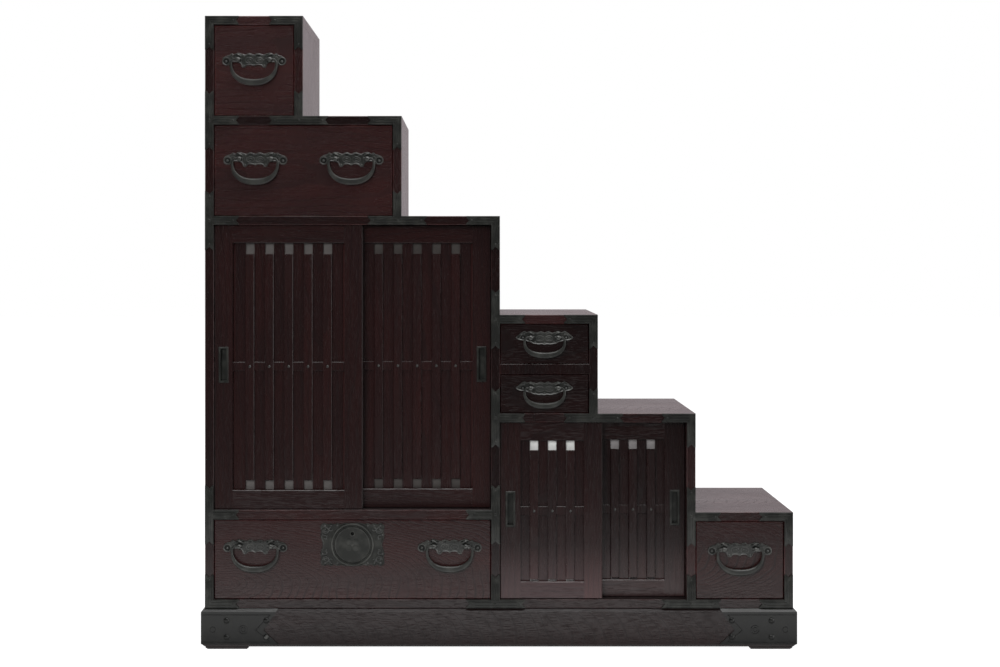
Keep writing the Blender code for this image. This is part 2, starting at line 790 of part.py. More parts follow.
def make_door(name, kind, left, width, bottom, top, track, sense, finishes):
    """A sliding door. sense is 1 where its pull is on the left, and -1 where it is on the right."""
    wood, panel_wood, iron = finishes
    centre = door_centre(track)
    face = centre - door_thick / 2
    right = left + width
    carrier = carrier_at(f"{name}_slide", ((left + right) / 2, centre, bottom))
    form = block((left, face, bottom), (right, face + door_thick, top))
    frame = hang(
        f"{name}_frame", chamfer(form, door_chamfer, ahead_of(form, face + fit)), carrier, wood)

    stiles = (kind["pull_stile"], kind["meeting_stile"])[::sense]
    inner_left, inner_right = left + stiles[0], right - stiles[1]
    inner_bottom, inner_top = bottom + kind["bottom_rail"], top - kind["top_rail"]
    cut(frame, block(
        (inner_left, face - overrun, inner_bottom),
        (inner_right, face + door_thick + overrun, inner_top)))
    for z in (inner_bottom, inner_top):
        diamond = [
            (face - rail_chamfer, z), (face, z + rail_chamfer), (face + rail_chamfer, z),
            (face, z - rail_chamfer)]
        cut(frame, slab(diamond, "X", inner_left, inner_right))

    half_tongue = tongue_thick / 2
    groove_floor = bottom - door_top_play - groove_depth_below
    groove_ceiling = top + door_top_play + groove_depth_above
    for low_z, high_z in (
            (groove_floor + fit, bottom + tenon), (top - tenon, groove_ceiling - tongue_headroom)):
        join(frame, block(
            (left + door_chamfer, centre - half_tongue, low_z),
            (right - door_chamfer, centre + half_tongue, high_z)))

    panel_front = make_lattice(
        frame, kind, inner_left, inner_right, inner_bottom, inner_top, face)
    hang(f"{name}_panel", block(
        (inner_left + fit, panel_front, inner_bottom + fit),
        (inner_right - fit, panel_front + panel_thick, inner_top - fit)), carrier, panel_wood)

    pull_x = left + stiles[0] / 2 if sense > 0 else right - stiles[1] / 2
    pull_z = (inner_bottom + inner_top) / 2 + kind["pull_above_middle"]
    half_w = pull_width / 2 - pull_flange_width + fit
    half_h = pull_height / 2 - pull_flange_width + fit
    cut(frame, block(
        (pull_x - half_w, face - overrun, pull_z - half_h),
        (pull_x + half_w, face + pull_depth + fit, pull_z + half_h)))
    make_pull(f"{name}_pull", pull_x, pull_z, face, carrier, iron)


def make_doors(finishes):
    """Each pair closes its opening, and the two doors overlap by about the width of a stile."""
    rooms = (
        ("big", big_door, case_left + board, step_edge(3) - board, shelf_top, step_top(3) - board),
        ("small", small_door, step_edge(3), step_edge(5) - board, board_top, step_top(5) - board),
    )
    for label, kind, low, high, bottom, top in rooms:
        width = (high - low + kind["overlap"]) / 2 - door_side_play
        bottom += door_top_play
        top -= door_top_play
        make_door(
            f"{label}_left_door", kind, low + door_side_play, width, bottom, top, 0, 1, finishes)
        make_door(
            f"{label}_right_door", kind, high - door_side_play - width, width, bottom, top, 1, -1,
            finishes)


clear_scene()
dark_wood = finish_named("dark_lacquered_wood", (0.034, 0.014, 0.014), 0.35, 0)
plain_wood = finish_named("plain_drawer_wood", (0.46, 0.33, 0.21), 0.65, 0)
backing_wood = finish_named("grey_backing_board", (0.24, 0.21, 0.20), 0.7, 0)
black_iron = finish_named("black_iron", (0.030, 0.032, 0.029), 0.45, 0.7)
chest = carrier_at("case", (0, 0, 0))
make_base(chest, dark_wood)
make_base_irons(chest, black_iron)
make_sides(chest, (dark_wood, black_iron))
make_treads(chest, (dark_wood, black_iron))
make_back(chest, plain_wood)
make_drawers((dark_wood, plain_wood, black_iron))
make_doors((dark_wood, backing_wood, black_iron))
bpy.context.view_layer.update()
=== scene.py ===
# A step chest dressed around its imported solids: lacquered boards, black iron straps and handles,
# lattice sliding doors with a pale backing, and softwood drawers, in a plain pale studio.
# Metres, +Z up. The front looks towards -Y.

import random
from math import acos, cos, pi, radians, sin

import bmesh
import bpy
from mathutils import Euler, Matrix, Vector


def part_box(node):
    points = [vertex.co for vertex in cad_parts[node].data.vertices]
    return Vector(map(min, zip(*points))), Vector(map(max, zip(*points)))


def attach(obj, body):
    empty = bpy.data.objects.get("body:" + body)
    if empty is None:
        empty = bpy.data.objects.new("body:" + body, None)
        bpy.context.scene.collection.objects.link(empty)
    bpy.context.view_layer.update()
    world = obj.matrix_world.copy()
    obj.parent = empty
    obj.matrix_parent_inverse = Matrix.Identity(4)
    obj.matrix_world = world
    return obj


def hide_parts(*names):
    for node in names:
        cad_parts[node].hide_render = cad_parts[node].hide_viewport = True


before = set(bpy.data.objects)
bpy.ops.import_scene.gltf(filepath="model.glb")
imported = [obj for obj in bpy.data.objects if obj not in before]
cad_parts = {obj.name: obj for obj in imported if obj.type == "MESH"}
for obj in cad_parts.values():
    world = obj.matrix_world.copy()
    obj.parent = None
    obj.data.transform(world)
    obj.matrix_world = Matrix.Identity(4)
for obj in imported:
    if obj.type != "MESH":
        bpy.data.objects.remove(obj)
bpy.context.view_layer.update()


# The boards of the case: ring-porous hardwood under many thin wiped coats of red-black lacquer. Each
# is from its own plank with the grain along it, butted and pegged. The irons' relief on the front
# edges belongs to the same solids, so what stands forward of the wood gets the iron's finish.

iron_thick = 0.0025
lacquer = (0.0232, 0.0080, 0.0080, 1)
lacquer_dark = (0.0070, 0.0040, 0.0042, 1)
lacquer_red = (0.0310, 0.0084, 0.0080, 1)
board_tone = 0.9
edge_tones = {
    "step_1_tread": 1.1, "step_2_tread": 0.30, "step_3_tread": 0.42, "step_4_tread": 1.05,
    "step_5_tread": 0.45, "step_6_tread": 0.60, "cupboard_shelf": 0.75, "bottom_board": 0.40,
    "left_side": 0.42, "middle_side": 0.26, "step_1_side": 0.65, "step_2_side": 0.75,
    "step_4_side": 0.30, "step_5_side": 0.75, "step_6_side": 0.50}
# Boards whose faces inside the chest are painted darker, a painted shade, and made duller.
inner_boards = ("left_side", "middle_side", "cupboard_shelf", "bottom_board")
inner_shade_tone = 0.35
base_figure = 0.3
# The base's upward-facing slope is painted darker, a painted shade that tones down its lit top, and made
# duller.
slope_shade_tone = 0.85
slope_matt = 0.26
inner_matt = 0.35
front_band = 0.003
# The band along the front arrises that is painted lighter, a painted highlight, and how much lighter.
arris = (0.0022, 0.0006)
arris_highlight_gain = 2.6
plain_figure = 0.35
bold_figure = 0.9
black_iron = (0.0160, 0.0166, 0.0152, 1)
worn_iron = (0.0315, 0.0321, 0.0292, 1)
iron_metal = 0.25
# How much lighter raised iron is painted, as wear and as a painted highlight.
raised_wear_and_highlight = 1.8
sheet_ior = 1.43
sheet_matt = 0.04
case_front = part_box("left_side")[0].y + iron_thick
mask_play = 0.0002
wood_bump = 0.00035
iron_bump = 0.00025
ring_spacing = 0.0105
arched_spacing = 0.0046
ring_heart = 0.10
ring_cone = 0.045
slope_limits = (0.15, 0.4)
# The patches that break up the painted highlight along the arrises.
arris_patch_scale, arris_patch_limits = 45, (0.15, 0.65)
relief_strength = 0.6

# How far the wood's patterns are drawn out along the grain: the rings' bends, the places where the
# figure fades, the pores, the fibres and the stain's clouds.
bend_stretch, figure_stretch = (2.2, 9, 9), (2, 8, 8)
pore_stretch, fibre_stretch, cloud_stretch = (45, 1300, 1300), (8, 260, 260), (3, 14, 14)
ring_bend, ring_wobble, wobble_scale = 0.09, 0.006, 22
late_start, late_end, figure_limits = (0.66, 0.90), (0.92, 1.0), (0.38, 0.62)
pore_limits, cloud_limits = (0.56, 0.70), (0.36, 0.66)
faded_figure, pores_in_late = 0.35, 0.4
fibre_share, late_share, pore_share = 0.40, 0.80, 0.22
wood_rough, late_rough, pore_rough, cloud_rough, cloud_scale = 0.21, 0.10, 0.12, 0.10, 7
sunk = -0.5

# The iron's cloudy bloom, its grit and the hammer's marks: scales, and what they do.
bloom_scale, grit_scale, hammer_scale = 55, 900, 210
bloom_limits = (0.42, 0.70)
iron_rough, bloom_rough, grit_rough = 0.20, 0.14, 0.06
hammer_height, grit_height = 0.7, 0.3

# How each kind of board lies in its plank: turned so that X runs along the grain, Y across the
# plank's width and Z through its thickness.
lying, facing, upright, upright_facing, lengthwise = (Euler(turn) for turn in (
    (0, 0, 0), (-pi / 2, 0, 0), (0, pi / 2, 0), (pi / 2, 0, pi / 2), (0, 0, pi / 2)))


def add(tree, kind, inputs=(), **settings):
    """Adds a shader node. Its inputs are sockets or values, by number or by name."""
    made = tree.nodes.new("ShaderNode" + kind)
    for label, value in settings.items():
        setattr(made, label, value)
    for key, value in dict(inputs).items():
        if isinstance(value, bpy.types.NodeSocket):
            tree.links.new(value, made.inputs[key])
        else:
            made.inputs[key].default_value = value
    return made


def maths(tree, operation, *values):
    return add(tree, "Math", dict(enumerate(values)), operation=operation).outputs[0]


def vectors(tree, operation, *values):
    return add(tree, "VectorMath", dict(enumerate(values)), operation=operation).outputs[0]


def rise(tree, value, low, high):
    """0 below low, 1 above high, and a smooth slope between them."""
    limits = {"Value": value, "From Min": low, "From Max": high}
    return add(tree, "MapRange", limits, interpolation_type="SMOOTHSTEP").outputs[0]


def noise(tree, place, scale, detail=2.0):
    return add(tree, "TexNoise", {"Vector": place, "Scale": scale, "Detail": detail}).outputs[0]


def drawn_out(tree, place, stretch):
    return vectors(tree, "MULTIPLY", place, stretch)


def mixed(tree, share, first, second, way="MIX"):
    """A colour between two, or the second laid on the first."""
    inputs = {0: share, 6: first, 7: second}
    return add(tree, "Mix", inputs, data_type="RGBA", blend_type=way).outputs[2]


def shared(tree, share, first, second):
    """A number between two."""
    return add(tree, "Mix", {0: share, 2: first, 3: second}, data_type="FLOAT").outputs[0]


def axes_of(tree, place):
    """The X, Y and Z of a place."""
    return add(tree, "SeparateXYZ", {0: place}).outputs


def grey(value):
    return (value, value, value, 1)


def scaled(colour, share):
    return (*(part * share for part in colour[:3]), 1)


def multiplied(tree, share, colour, tone):
    """A colour that is darker or lighter by a tone where share is 1."""
    return mixed(tree, share, colour, grey(tone), "MULTIPLY")


def new_group(name, inputs, outputs):
    """A shader node group, with what it is given and what it puts out."""
    tree = bpy.data.node_groups.new(name, "ShaderNodeTree")
    for label, kind, value in inputs:
        socket = tree.interface.new_socket(label, in_out="INPUT", socket_type="NodeSocket" + kind)
        if value is not None:
            socket.default_value = value
    for label, kind in outputs:
        tree.interface.new_socket(label, in_out="OUTPUT", socket_type="NodeSocket" + kind)
    given = tree.nodes.new("NodeGroupInput").outputs
    return tree, given, tree.nodes.new("NodeGroupOutput").inputs


def make_grain():
    """Growth rings as cones about the tree's heart, with pores in fine streaks along the grain."""
    tree, given, put = new_group("wood grain", (
        ("Place", "Vector", None), ("Early Wood", "Color", lacquer),
        ("Late Wood", "Color", lacquer_dark), ("Patches", "Color", lacquer_red),
        ("Spacing", "Float", ring_spacing), ("Heart", "Float", ring_heart),
        ("Cone", "Float", ring_cone), ("Matt", "Float", 0.0), ("Figure", "Float", 1.0),
    ), (("Color", "Color"), ("Roughness", "Float"), ("Height", "Float")))
    place = given["Place"]
    bend = maths(tree, "SUBTRACT", noise(tree, drawn_out(tree, place, bend_stretch), 1), 0.5)
    x, y, z = axes_of(tree, place)
    across = maths(tree, "MULTIPLY_ADD", bend, ring_bend, y)
    leaning = maths(tree, "MULTIPLY_ADD", x, given["Cone"], z)
    depth = maths(tree, "ADD", leaning, given["Heart"])
    radius = add(tree, "CombineXYZ", {0: across, 1: depth})
    distance = add(tree, "VectorMath", {0: radius.outputs[0]}, operation="LENGTH").outputs["Value"]
    wobble = noise(tree, place, wobble_scale, 1)
    uneven = maths(tree, "MULTIPLY_ADD", wobble, ring_wobble, distance)
    ring = maths(tree, "FRACT", maths(tree, "DIVIDE", uneven, given["Spacing"]))
    late = maths(tree, "SUBTRACT", rise(tree, ring, *late_start), rise(tree, ring, *late_end))
    strength = rise(tree, noise(tree, drawn_out(tree, place, figure_stretch), 1), *figure_limits)
    late = maths(tree, "MULTIPLY", late, shared(tree, strength, faded_figure, given["Figure"]))
    streaks = rise(tree, noise(tree, drawn_out(tree, place, pore_stretch), 1, 1), *pore_limits)
    pores = maths(tree, "MULTIPLY", streaks, shared(tree, late, 1.0, pores_in_late))
    fibres = noise(tree, drawn_out(tree, place, fibre_stretch), 1, 3)
    cloud = rise(tree, noise(tree, drawn_out(tree, place, cloud_stretch), 1, 3), *cloud_limits)
    base = mixed(tree, cloud, given["Early Wood"], given["Patches"])
    for pattern, share in ((fibres, fibre_share), (late, late_share), (pores, pore_share)):
        base = mixed(tree, maths(tree, "MULTIPLY", pattern, share), base, given["Late Wood"])
    tree.links.new(base, put["Color"])
    rough = wood_rough
    for pattern, share in ((late, late_rough), (pores, pore_rough),
                           (noise(tree, place, cloud_scale, 3), cloud_rough)):
        rough = maths(tree, "MULTIPLY_ADD", pattern, share, rough)
    tree.links.new(maths(tree, "ADD", rough, given["Matt"]), put["Roughness"])
    worn = maths(tree, "MULTIPLY_ADD", late, sunk, 1.0)
    tree.links.new(maths(tree, "MULTIPLY_ADD", pores, sunk, worn), put["Height"])
    return tree


def make_iron_skin():
    """Blackened sheet iron: a cloudy bloom, rubbed lighter in places, with a fine hammered grit."""
    tree, given, put = new_group("black iron", (
        ("Place", "Vector", None), ("Dark", "Color", black_iron), ("Rubbed", "Color", worn_iron),
        ("Matt", "Float", 0.0),
    ), (("Color", "Color"), ("Roughness", "Float"), ("Height", "Float")))
    place = given["Place"]
    bloom, grit = noise(tree, place, bloom_scale, 4), noise(tree, place, grit_scale)
    rubbed = rise(tree, bloom, *bloom_limits)
    tree.links.new(mixed(tree, rubbed, given["Dark"], given["Rubbed"]), put["Color"])
    rough = maths(tree, "MULTIPLY_ADD", bloom, bloom_rough, given["Matt"])
    rough = maths(tree, "MULTIPLY_ADD", grit, grit_rough, rough)
    tree.links.new(maths(tree, "ADD", rough, iron_rough), put["Roughness"])
    hammered = maths(tree, "MULTIPLY", noise(tree, place, hammer_scale, 1), hammer_height)
    tree.links.new(maths(tree, "MULTIPLY_ADD", grit, grit_height, hammered), put["Height"])
    return tree


grain_group = make_grain()
iron_group = make_iron_skin()


def start_material(name):
    finish = bpy.data.materials.new(name)
    finish.use_nodes = True
    tree = finish.node_tree
    return finish, tree, tree.nodes["Principled BSDF"], add(tree, "TexCoord").outputs["Object"]


def make_dull(shader):
    shader.inputs["Roughness"].default_value = 0.9
    shader.inputs["Specular IOR Level"].default_value = 0.1


def place_on(tree, place, middle, turn, shift):
    """A pattern centred on a point, turned, and shifted to another part of its plank."""
    spot = Vector(shift) - turn.to_matrix() @ Vector(middle)
    inputs = {"Vector": place, "Location": spot, "Rotation": turn}
    return add(tree, "Mapping", inputs).outputs[0]


def skin(tree, group, inputs):
    """A group's three outputs, from its inputs by name."""
    return add(tree, "Group", inputs, node_tree=group).outputs


def coat(tree, shader, colour, rough, height, bump):
    """Feeds a shader its colour, its roughness and its relief."""
    tree.links.new(colour, shader.inputs["Base Color"])
    tree.links.new(rough, shader.inputs["Roughness"])
    relief = add(tree, "Bump", {"Height": height, "Distance": bump, "Strength": relief_strength})
    tree.links.new(relief.outputs[0], shader.inputs["Normal"])


# Boards sawn nearer the heart, whose rings show as long arches: shift, distance and lean.
arched = {
    "wide_drawer_front": ((0.10, 0.055, 0), 0.045, 0.27), "base_frame": ((0.05, 0.03, 0), 0.040, 0.20),
    "low_drawer_front": ((0.10, -0.02, 0), 0.060, 0.24), "step_6_tread": ((0.1, 0.02, 0), 0.05, 0.22),
    "step_5_tread": ((0.0, 0.05, 0), 0.05, 0.20),
}


def plank_of(name, middle, size, turn):
    """Where a board lies in its own plank: its shift, its distance from the heart and its lean."""
    if name in arched:
        return arched[name]
    chance = random.Random(name)
    width = (turn.to_matrix() @ Vector(size)).y
    shift = (chance.uniform(-1, 1), chance.uniform(-0.3, 0.3) * abs(width), 0)
    lean = ring_cone * chance.choice((-1, 1)) * chance.uniform(0.8, 1.3)
    return shift, ring_heart * chance.uniform(0.6, 1.3), lean


def toned(tone, figure):
    """The three colours of the lacquered wood, darker or lighter by a share, and its rings' weight."""
    colours = {"Early Wood": lacquer, "Late Wood": lacquer_dark, "Patches": lacquer_red}
    return {**{label: scaled(colour, tone) for label, colour in colours.items()}, "Figure": figure}


def arris_highlights(tree, place, middle, size, front, colour):
    """A painted highlight along the arrises round a board's front: lighter lacquer, broken into patches.
    """
    spot = vectors(tree, "ABSOLUTE", vectors(tree, "SUBTRACT", place, middle))
    x, _, z = axes_of(tree, spot)
    depth = axes_of(tree, place)[1]
    in_front = maths(tree, "LESS_THAN", depth, front + front_band)
    near = (rise(tree, x, size.x / 2 - arris[0], size.x / 2 - arris[1]),
            rise(tree, z, size.z / 2 - arris[0], size.z / 2 - arris[1]))
    rubbed = maths(tree, "MULTIPLY", maths(tree, "MAXIMUM", *near),
                   rise(tree, noise(tree, place, arris_patch_scale, 3), *arris_patch_limits))
    rubbed = maths(tree, "MULTIPLY", rubbed, in_front)
    return multiplied(tree, rubbed, colour, arris_highlight_gain)


def inward(tree, name, place, middle):
    """1 where a board is inside the chest, 0 where it is the outside."""
    x, _, z = axes_of(tree, place)
    if name == "left_side":
        return maths(tree, "GREATER_THAN", x, middle.x)
    if name == "middle_side":
        below = maths(tree, "LESS_THAN", z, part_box("step_4_tread")[1].z)
        return maths(tree, "MAXIMUM", below, maths(tree, "LESS_THAN", x, middle.x))
    return 1.0


def lacquered(name, turn, tone, edge=None):
    """The lacquered wood of one board. A board of the case has a tone of its own on its front edge,
    and the iron's finish on the relief there. Inside the cupboards it is duller, with painted shade."""
    low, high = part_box(name)
    middle, size = (low + high) / 2, high - low
    finish, tree, shader, place = start_material(f"lacquered_{name}")
    shift, heart, lean = plank_of(name, middle, size, turn)
    spot = place_on(tree, place, middle, turn, shift)
    figure, spacing = (bold_figure, arched_spacing) if name in arched else (plain_figure, ring_spacing)
    figure = base_figure if name == "base_frame" else figure
    wood = skin(tree, grain_group, {
        "Place": spot, "Heart": heart, "Cone": lean, "Spacing": spacing, **toned(tone, figure)})
    colour, rough, height = wood["Color"], wood["Roughness"], wood["Height"]
    if name == "base_frame":
        # Upward-facing faces painted darker as painted shade, and duller.
        upward = axes_of(tree, add(tree, "NewGeometry").outputs["Normal"])[2]
        slope = rise(tree, upward, *slope_limits)
        colour = multiplied(tree, slope, colour, slope_shade_tone)
        rough = maths(tree, "MULTIPLY_ADD", slope, slope_matt, rough)
    else:
        colour = arris_highlights(tree, place, middle, size, case_front if edge else low.y, colour)
    if edge:
        iron = skin(tree, iron_group, {"Place": place, "Matt": sheet_matt})
        depth = axes_of(tree, place)[1]
        is_edge = maths(tree, "LESS_THAN", depth, case_front + mask_play)
        colour = multiplied(tree, is_edge, colour, edge / tone)
        # Inside the cupboards: painted shade and a duller surface.
        if name in inner_boards:
            inside = maths(tree, "MULTIPLY", inward(tree, name, place, middle),
                           maths(tree, "SUBTRACT", 1.0, is_edge))
            colour = multiplied(tree, inside, colour, inner_shade_tone / tone)
            rough = maths(tree, "MULTIPLY_ADD", inside, inner_matt, rough)
        is_iron = maths(tree, "LESS_THAN", depth, case_front - mask_play)
        colour = mixed(tree, is_iron, colour, iron["Color"])
        rough = shared(tree, is_iron, rough, iron["Roughness"])
        height = shared(tree, is_iron, height, iron["Height"])
        tree.links.new(maths(tree, "MULTIPLY", is_iron, iron_metal), shader.inputs["Metallic"])
    coat(tree, shader, colour, rough, height, wood_bump)
    return finish


def paint(name, finish):
    """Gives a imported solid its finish."""
    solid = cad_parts[name]
    solid.data.materials.clear()
    solid.data.materials.append(finish)


step_count = 6
for board_name, edge_tone in edge_tones.items():
    turn = upright if board_name.endswith("side") else lying
    paint(board_name, lacquered(board_name, turn, board_tone, edge_tone))


# The corner straps: twenty-one pieces of sheet iron, each cut in one piece to an L or a T, chased with
# raised lines, notched at its ends, and nailed over the relief that the boards carry.

strap_skin = 0.0004
strap_seat = 0.0010
strap_ease = 0.0001
strap_chamfer = 0.0005
strap_reach = 0.060
strap_notch = 0.006
strap_point = 0.0025
edge_bead_in = 0.0013
edge_bead_width = 0.0020
inner_bead_out = 0.0027
inner_bead_width = 0.0015
bead_rise = 0.0010
bead_end_gap = 0.004
inner_bead_end_gap = 0.0165
strap_nail_gap = 0.0115
strap_nail_radius = 0.0019
strap_nail_rise = 0.0013
boss_radius = 0.0036
boss_rise = 0.0015
nail_sides = 14
usual_sharp_angle = 32
bead_roundness = 0.75
raised_limits = (0.0001, 0.0009)

right, up, left, down = Vector((1, 0)), Vector((0, 1)), Vector((-1, 0)), Vector((0, -1))
compass = (right, up, left, down)


def plain_iron(name, bump=iron_bump, matt=sheet_matt, ior=sheet_ior, tone=1.0, ground=None):
    """Black iron in a tone. What stands forward of a ground is painted lighter, as wear and as a painted
    highlight.
    """
    finish, tree, shader, place = start_material(name)
    iron = skin(tree, iron_group, {
        "Place": place, "Matt": matt,
        "Dark": scaled(black_iron, tone), "Rubbed": scaled(worn_iron, tone)})
    colour = iron["Color"]
    if ground is not None:
        depth = axes_of(tree, place)[1]
        raised = rise(tree, maths(tree, "SUBTRACT", ground, depth), *raised_limits)
        colour = multiplied(tree, raised, colour, raised_wear_and_highlight)
    shader.inputs["Metallic"].default_value = iron_metal
    shader.inputs["IOR"].default_value = ior
    coat(tree, shader, colour, iron["Roughness"], iron["Height"], bump)
    return finish


strap_iron = plain_iron("strap_iron")


def meshed(name, shape):
    """Turns a shape into a mesh and lets the shape go."""
    mesh = bpy.data.meshes.new(name)
    shape.to_mesh(mesh)
    shape.free()
    return mesh


def placed(name, data):
    """Puts a mesh, a lamp or a camera into the scene."""
    made = bpy.data.objects.new(name, data)
    bpy.context.scene.collection.objects.link(made)
    return made


def finished(name, shape, finish, body, angle=usual_sharp_angle):
    """Makes a shape an iron piece of the chest, riding on a body."""
    bmesh.ops.recalc_face_normals(shape, faces=shape.faces)
    mesh = meshed(name, shape)
    mesh.shade_smooth()
    mesh.set_sharp_from_angle(angle=radians(angle))
    mesh.materials.append(finish)
    piece = placed(name, mesh)
    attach(piece, body)
    return piece


def eased(shape, edges, width):
    """Rounds edges over in two facets."""
    bmesh.ops.bevel(
        shape, geom=edges, offset=width, offset_type="OFFSET", segments=2, profile=0.5,
        affect="EDGES", material=-1, clamp_overlap=True)


def sheet_metal(shape, outline, back, thick, chamfer):
    """A flat sheet with an outline across X and Z, forward of its back, its front edges eased."""
    face = shape.faces.new([shape.verts.new((x, back, z)) for x, z in outline])
    grown = bmesh.ops.extrude_face_region(shape, geom=[face])["geom"]
    verts = [item for item in grown if isinstance(item, bmesh.types.BMVert)]
    bmesh.ops.translate(shape, vec=(0, -thick, 0), verts=verts)
    edges = [edge for item in grown if isinstance(item, bmesh.types.BMFace) for edge in item.edges]
    eased(shape, edges, chamfer)
    bmesh.ops.recalc_face_normals(shape, faces=shape.faces)


def bead(shape, start, end, width, rise, level):
    """A half-round line chased between two points, standing forward of a level."""
    run = Vector(end) - Vector(start)
    middle = (Vector(start) + Vector(end)) / 2
    place = Matrix.Translation((middle.x, level, middle.y))
    turn = Matrix.Rotation(-run.angle_signed(right), 4, "Y")
    size = Matrix.Diagonal((run.length, 2 * rise, width, 1))
    verts = bmesh.ops.create_cube(shape, size=1, matrix=place @ turn @ size)["verts"]
    front = [vert for vert in verts if vert.co.y < level]
    edges = {edge for vert in front for edge in vert.link_edges if edge.other_vert(vert) in front}
    eased(shape, list(edges), min(rise, width / 2) * bead_roundness)


def upended(x, y, z):
    """Puts what stands on the XY plane at a point, facing the front."""
    return Matrix.Translation((x, y, z)) @ Matrix.Rotation(pi / 2, 4, "X")


def drum(shape, x, y, z, radius, depth, sides):
    """A round drum along Y, about its middle."""
    bmesh.ops.create_cone(
        shape, cap_ends=True, segments=sides, radius1=radius, radius2=radius, depth=depth,
        matrix=upended(x, y, z))


def dome(shape, x, z, level, radius, rise, sides=nail_sides):
    """A nail's or a boss's round head, standing forward of a level."""
    place = Matrix.Translation((x, level, z)) @ Matrix.Diagonal((radius, rise, radius, 1))
    bmesh.ops.create_uvsphere(
        shape, u_segments=sides, v_segments=sides // 2, radius=1,
        matrix=place @ Matrix.Rotation(pi / 2, 4, "X"))


def arm_outline(arm, half):
    """The notched end of an arm, from its right-hand side to its left, seen along it."""
    side = Vector((-arm.y, arm.x))
    shoulder = half - strap_point
    ends = ((strap_reach, -half), (strap_reach, -shoulder), (strap_reach - strap_notch, 0),
            (strap_reach, shoulder), (strap_reach, half))
    return [arm * along + side * across for along, across in ends]


def strap_outline(arms, half):
    """Round the joint from arm to arm, by way of the corners between them."""
    points = []
    for number, arm in enumerate(compass):
        following = compass[(number + 1) % len(compass)]
        if arm in arms:
            points += arm_outline(arm, half)
        points.append((arm + following) * half)
    return points


def strap_lines(shape, centre, arms, half, level):
    """The lines chased along each arm: one near each edge, and a pair beside the middle."""
    edge_line, inner_line = half - edge_bead_in, inner_bead_out
    for arm in arms:
        side = Vector((-arm.y, arm.x))
        through = -arm in arms
        stem = side in arms and -side in arms
        for sense in (1, -1):
            turned = side * sense in arms
            edge_start = edge_line if turned else (0 if through else -edge_line)
            inner_start = inner_line * (1 if turned else -1)
            if through:
                inner_start = 0
            elif stem:
                inner_start = half
            for start, out, width, gap in (
                    (edge_start, edge_line, edge_bead_width, bead_end_gap),
                    (inner_start, inner_line, inner_bead_width, inner_bead_end_gap)):
                line = centre + side * sense * out
                bead(shape, line + arm * start, line + arm * (strap_reach - gap),
                     width, bead_rise, level)


def make_strap(name, x, z, arms, half):
    shape = bmesh.new()
    centre = Vector((x, z))
    level = case_front - iron_thick - strap_skin
    half -= strap_ease
    outline = [centre + Vector(point) for point in strap_outline(arms, half)]
    sheet_metal(shape, outline, level + strap_skin + strap_seat, strap_skin + strap_seat, strap_chamfer)
    strap_lines(shape, centre, arms, half, level)
    for arm in arms:
        spot = centre + arm * (strap_reach - strap_nail_gap)
        dome(shape, spot.x, spot.y, level, strap_nail_radius, strap_nail_rise)
    if len(arms) > 2:
        dome(shape, x, z, level, boss_radius, boss_rise)
    finished(name, shape, strap_iron, "case")


def make_straps():
    """One strap on each joint that shows in front, named after the boards that meet there."""
    half = (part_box("step_1_side")[1].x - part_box("step_1_side")[0].x) / 2
    upright_x = {name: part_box(f"{name}_side")[1].x - half for name in (
        "left", "middle", "step_1", "step_2", "step_4", "step_5", "step_6")}
    lying_z = {name: (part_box(name)[0].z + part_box(name)[1].z) / 2 for name in (
        *(f"step_{step}_tread" for step in range(1, step_count + 1)),
        "cupboard_shelf", "bottom_board")}
    joints = (
        ("left", "step_1_tread", (right, down)), ("left", "step_2_tread", (right, up, down)),
        ("left", "step_3_tread", (right, up, down)), ("left", "cupboard_shelf", (right, up, down)),
        ("left", "bottom_board", (right, up)), ("step_1", "step_1_tread", (left, down)),
        ("step_1", "step_2_tread", (left, right, up)), ("step_2", "step_2_tread", (left, down)),
        ("step_2", "step_3_tread", (left, right, up)), ("middle", "step_3_tread", (left, down)),
        ("middle", "step_4_tread", (right, up, down)), ("middle", "step_5_tread", (right, up, down)),
        ("middle", "cupboard_shelf", (left, up, down)), ("middle", "bottom_board", (left, right, up)),
        ("step_4", "step_4_tread", (left, down)), ("step_4", "step_5_tread", (left, right, up)),
        ("step_5", "step_5_tread", (left, down)), ("step_5", "step_6_tread", (right, up, down)),
        ("step_5", "bottom_board", (left, right, up)), ("step_6", "step_6_tread", (left, down)),
        ("step_6", "bottom_board", (left, up)),
    )
    for side, lies, arms in joints:
        make_strap(f"strap_{side}_{lies}", upright_x[side], lying_z[lies], arms, half)


make_straps()


# The back: softwood planks tongued together side by side and nailed on the back edges of the boards.
# It stays unlacquered, since it stands against a wall.

softwood = (0.42, 0.29, 0.17, 1)
softwood_late = (0.26, 0.155, 0.080, 1)
softwood_patch = (0.50, 0.36, 0.22, 1)
softwood_matt = 0.30
softwood_spacing = 0.007
back_plank = 0.150
plank_seam = 0.0012
plank_jump = 0.73
seam_share = 0.8


def softwood_skin(tree, spot, heart, lean):
    return skin(tree, grain_group, {
        "Place": spot, "Early Wood": softwood, "Late Wood": softwood_late, "Patches": softwood_patch,
        "Spacing": softwood_spacing, "Heart": heart, "Cone": lean, "Matt": softwood_matt})


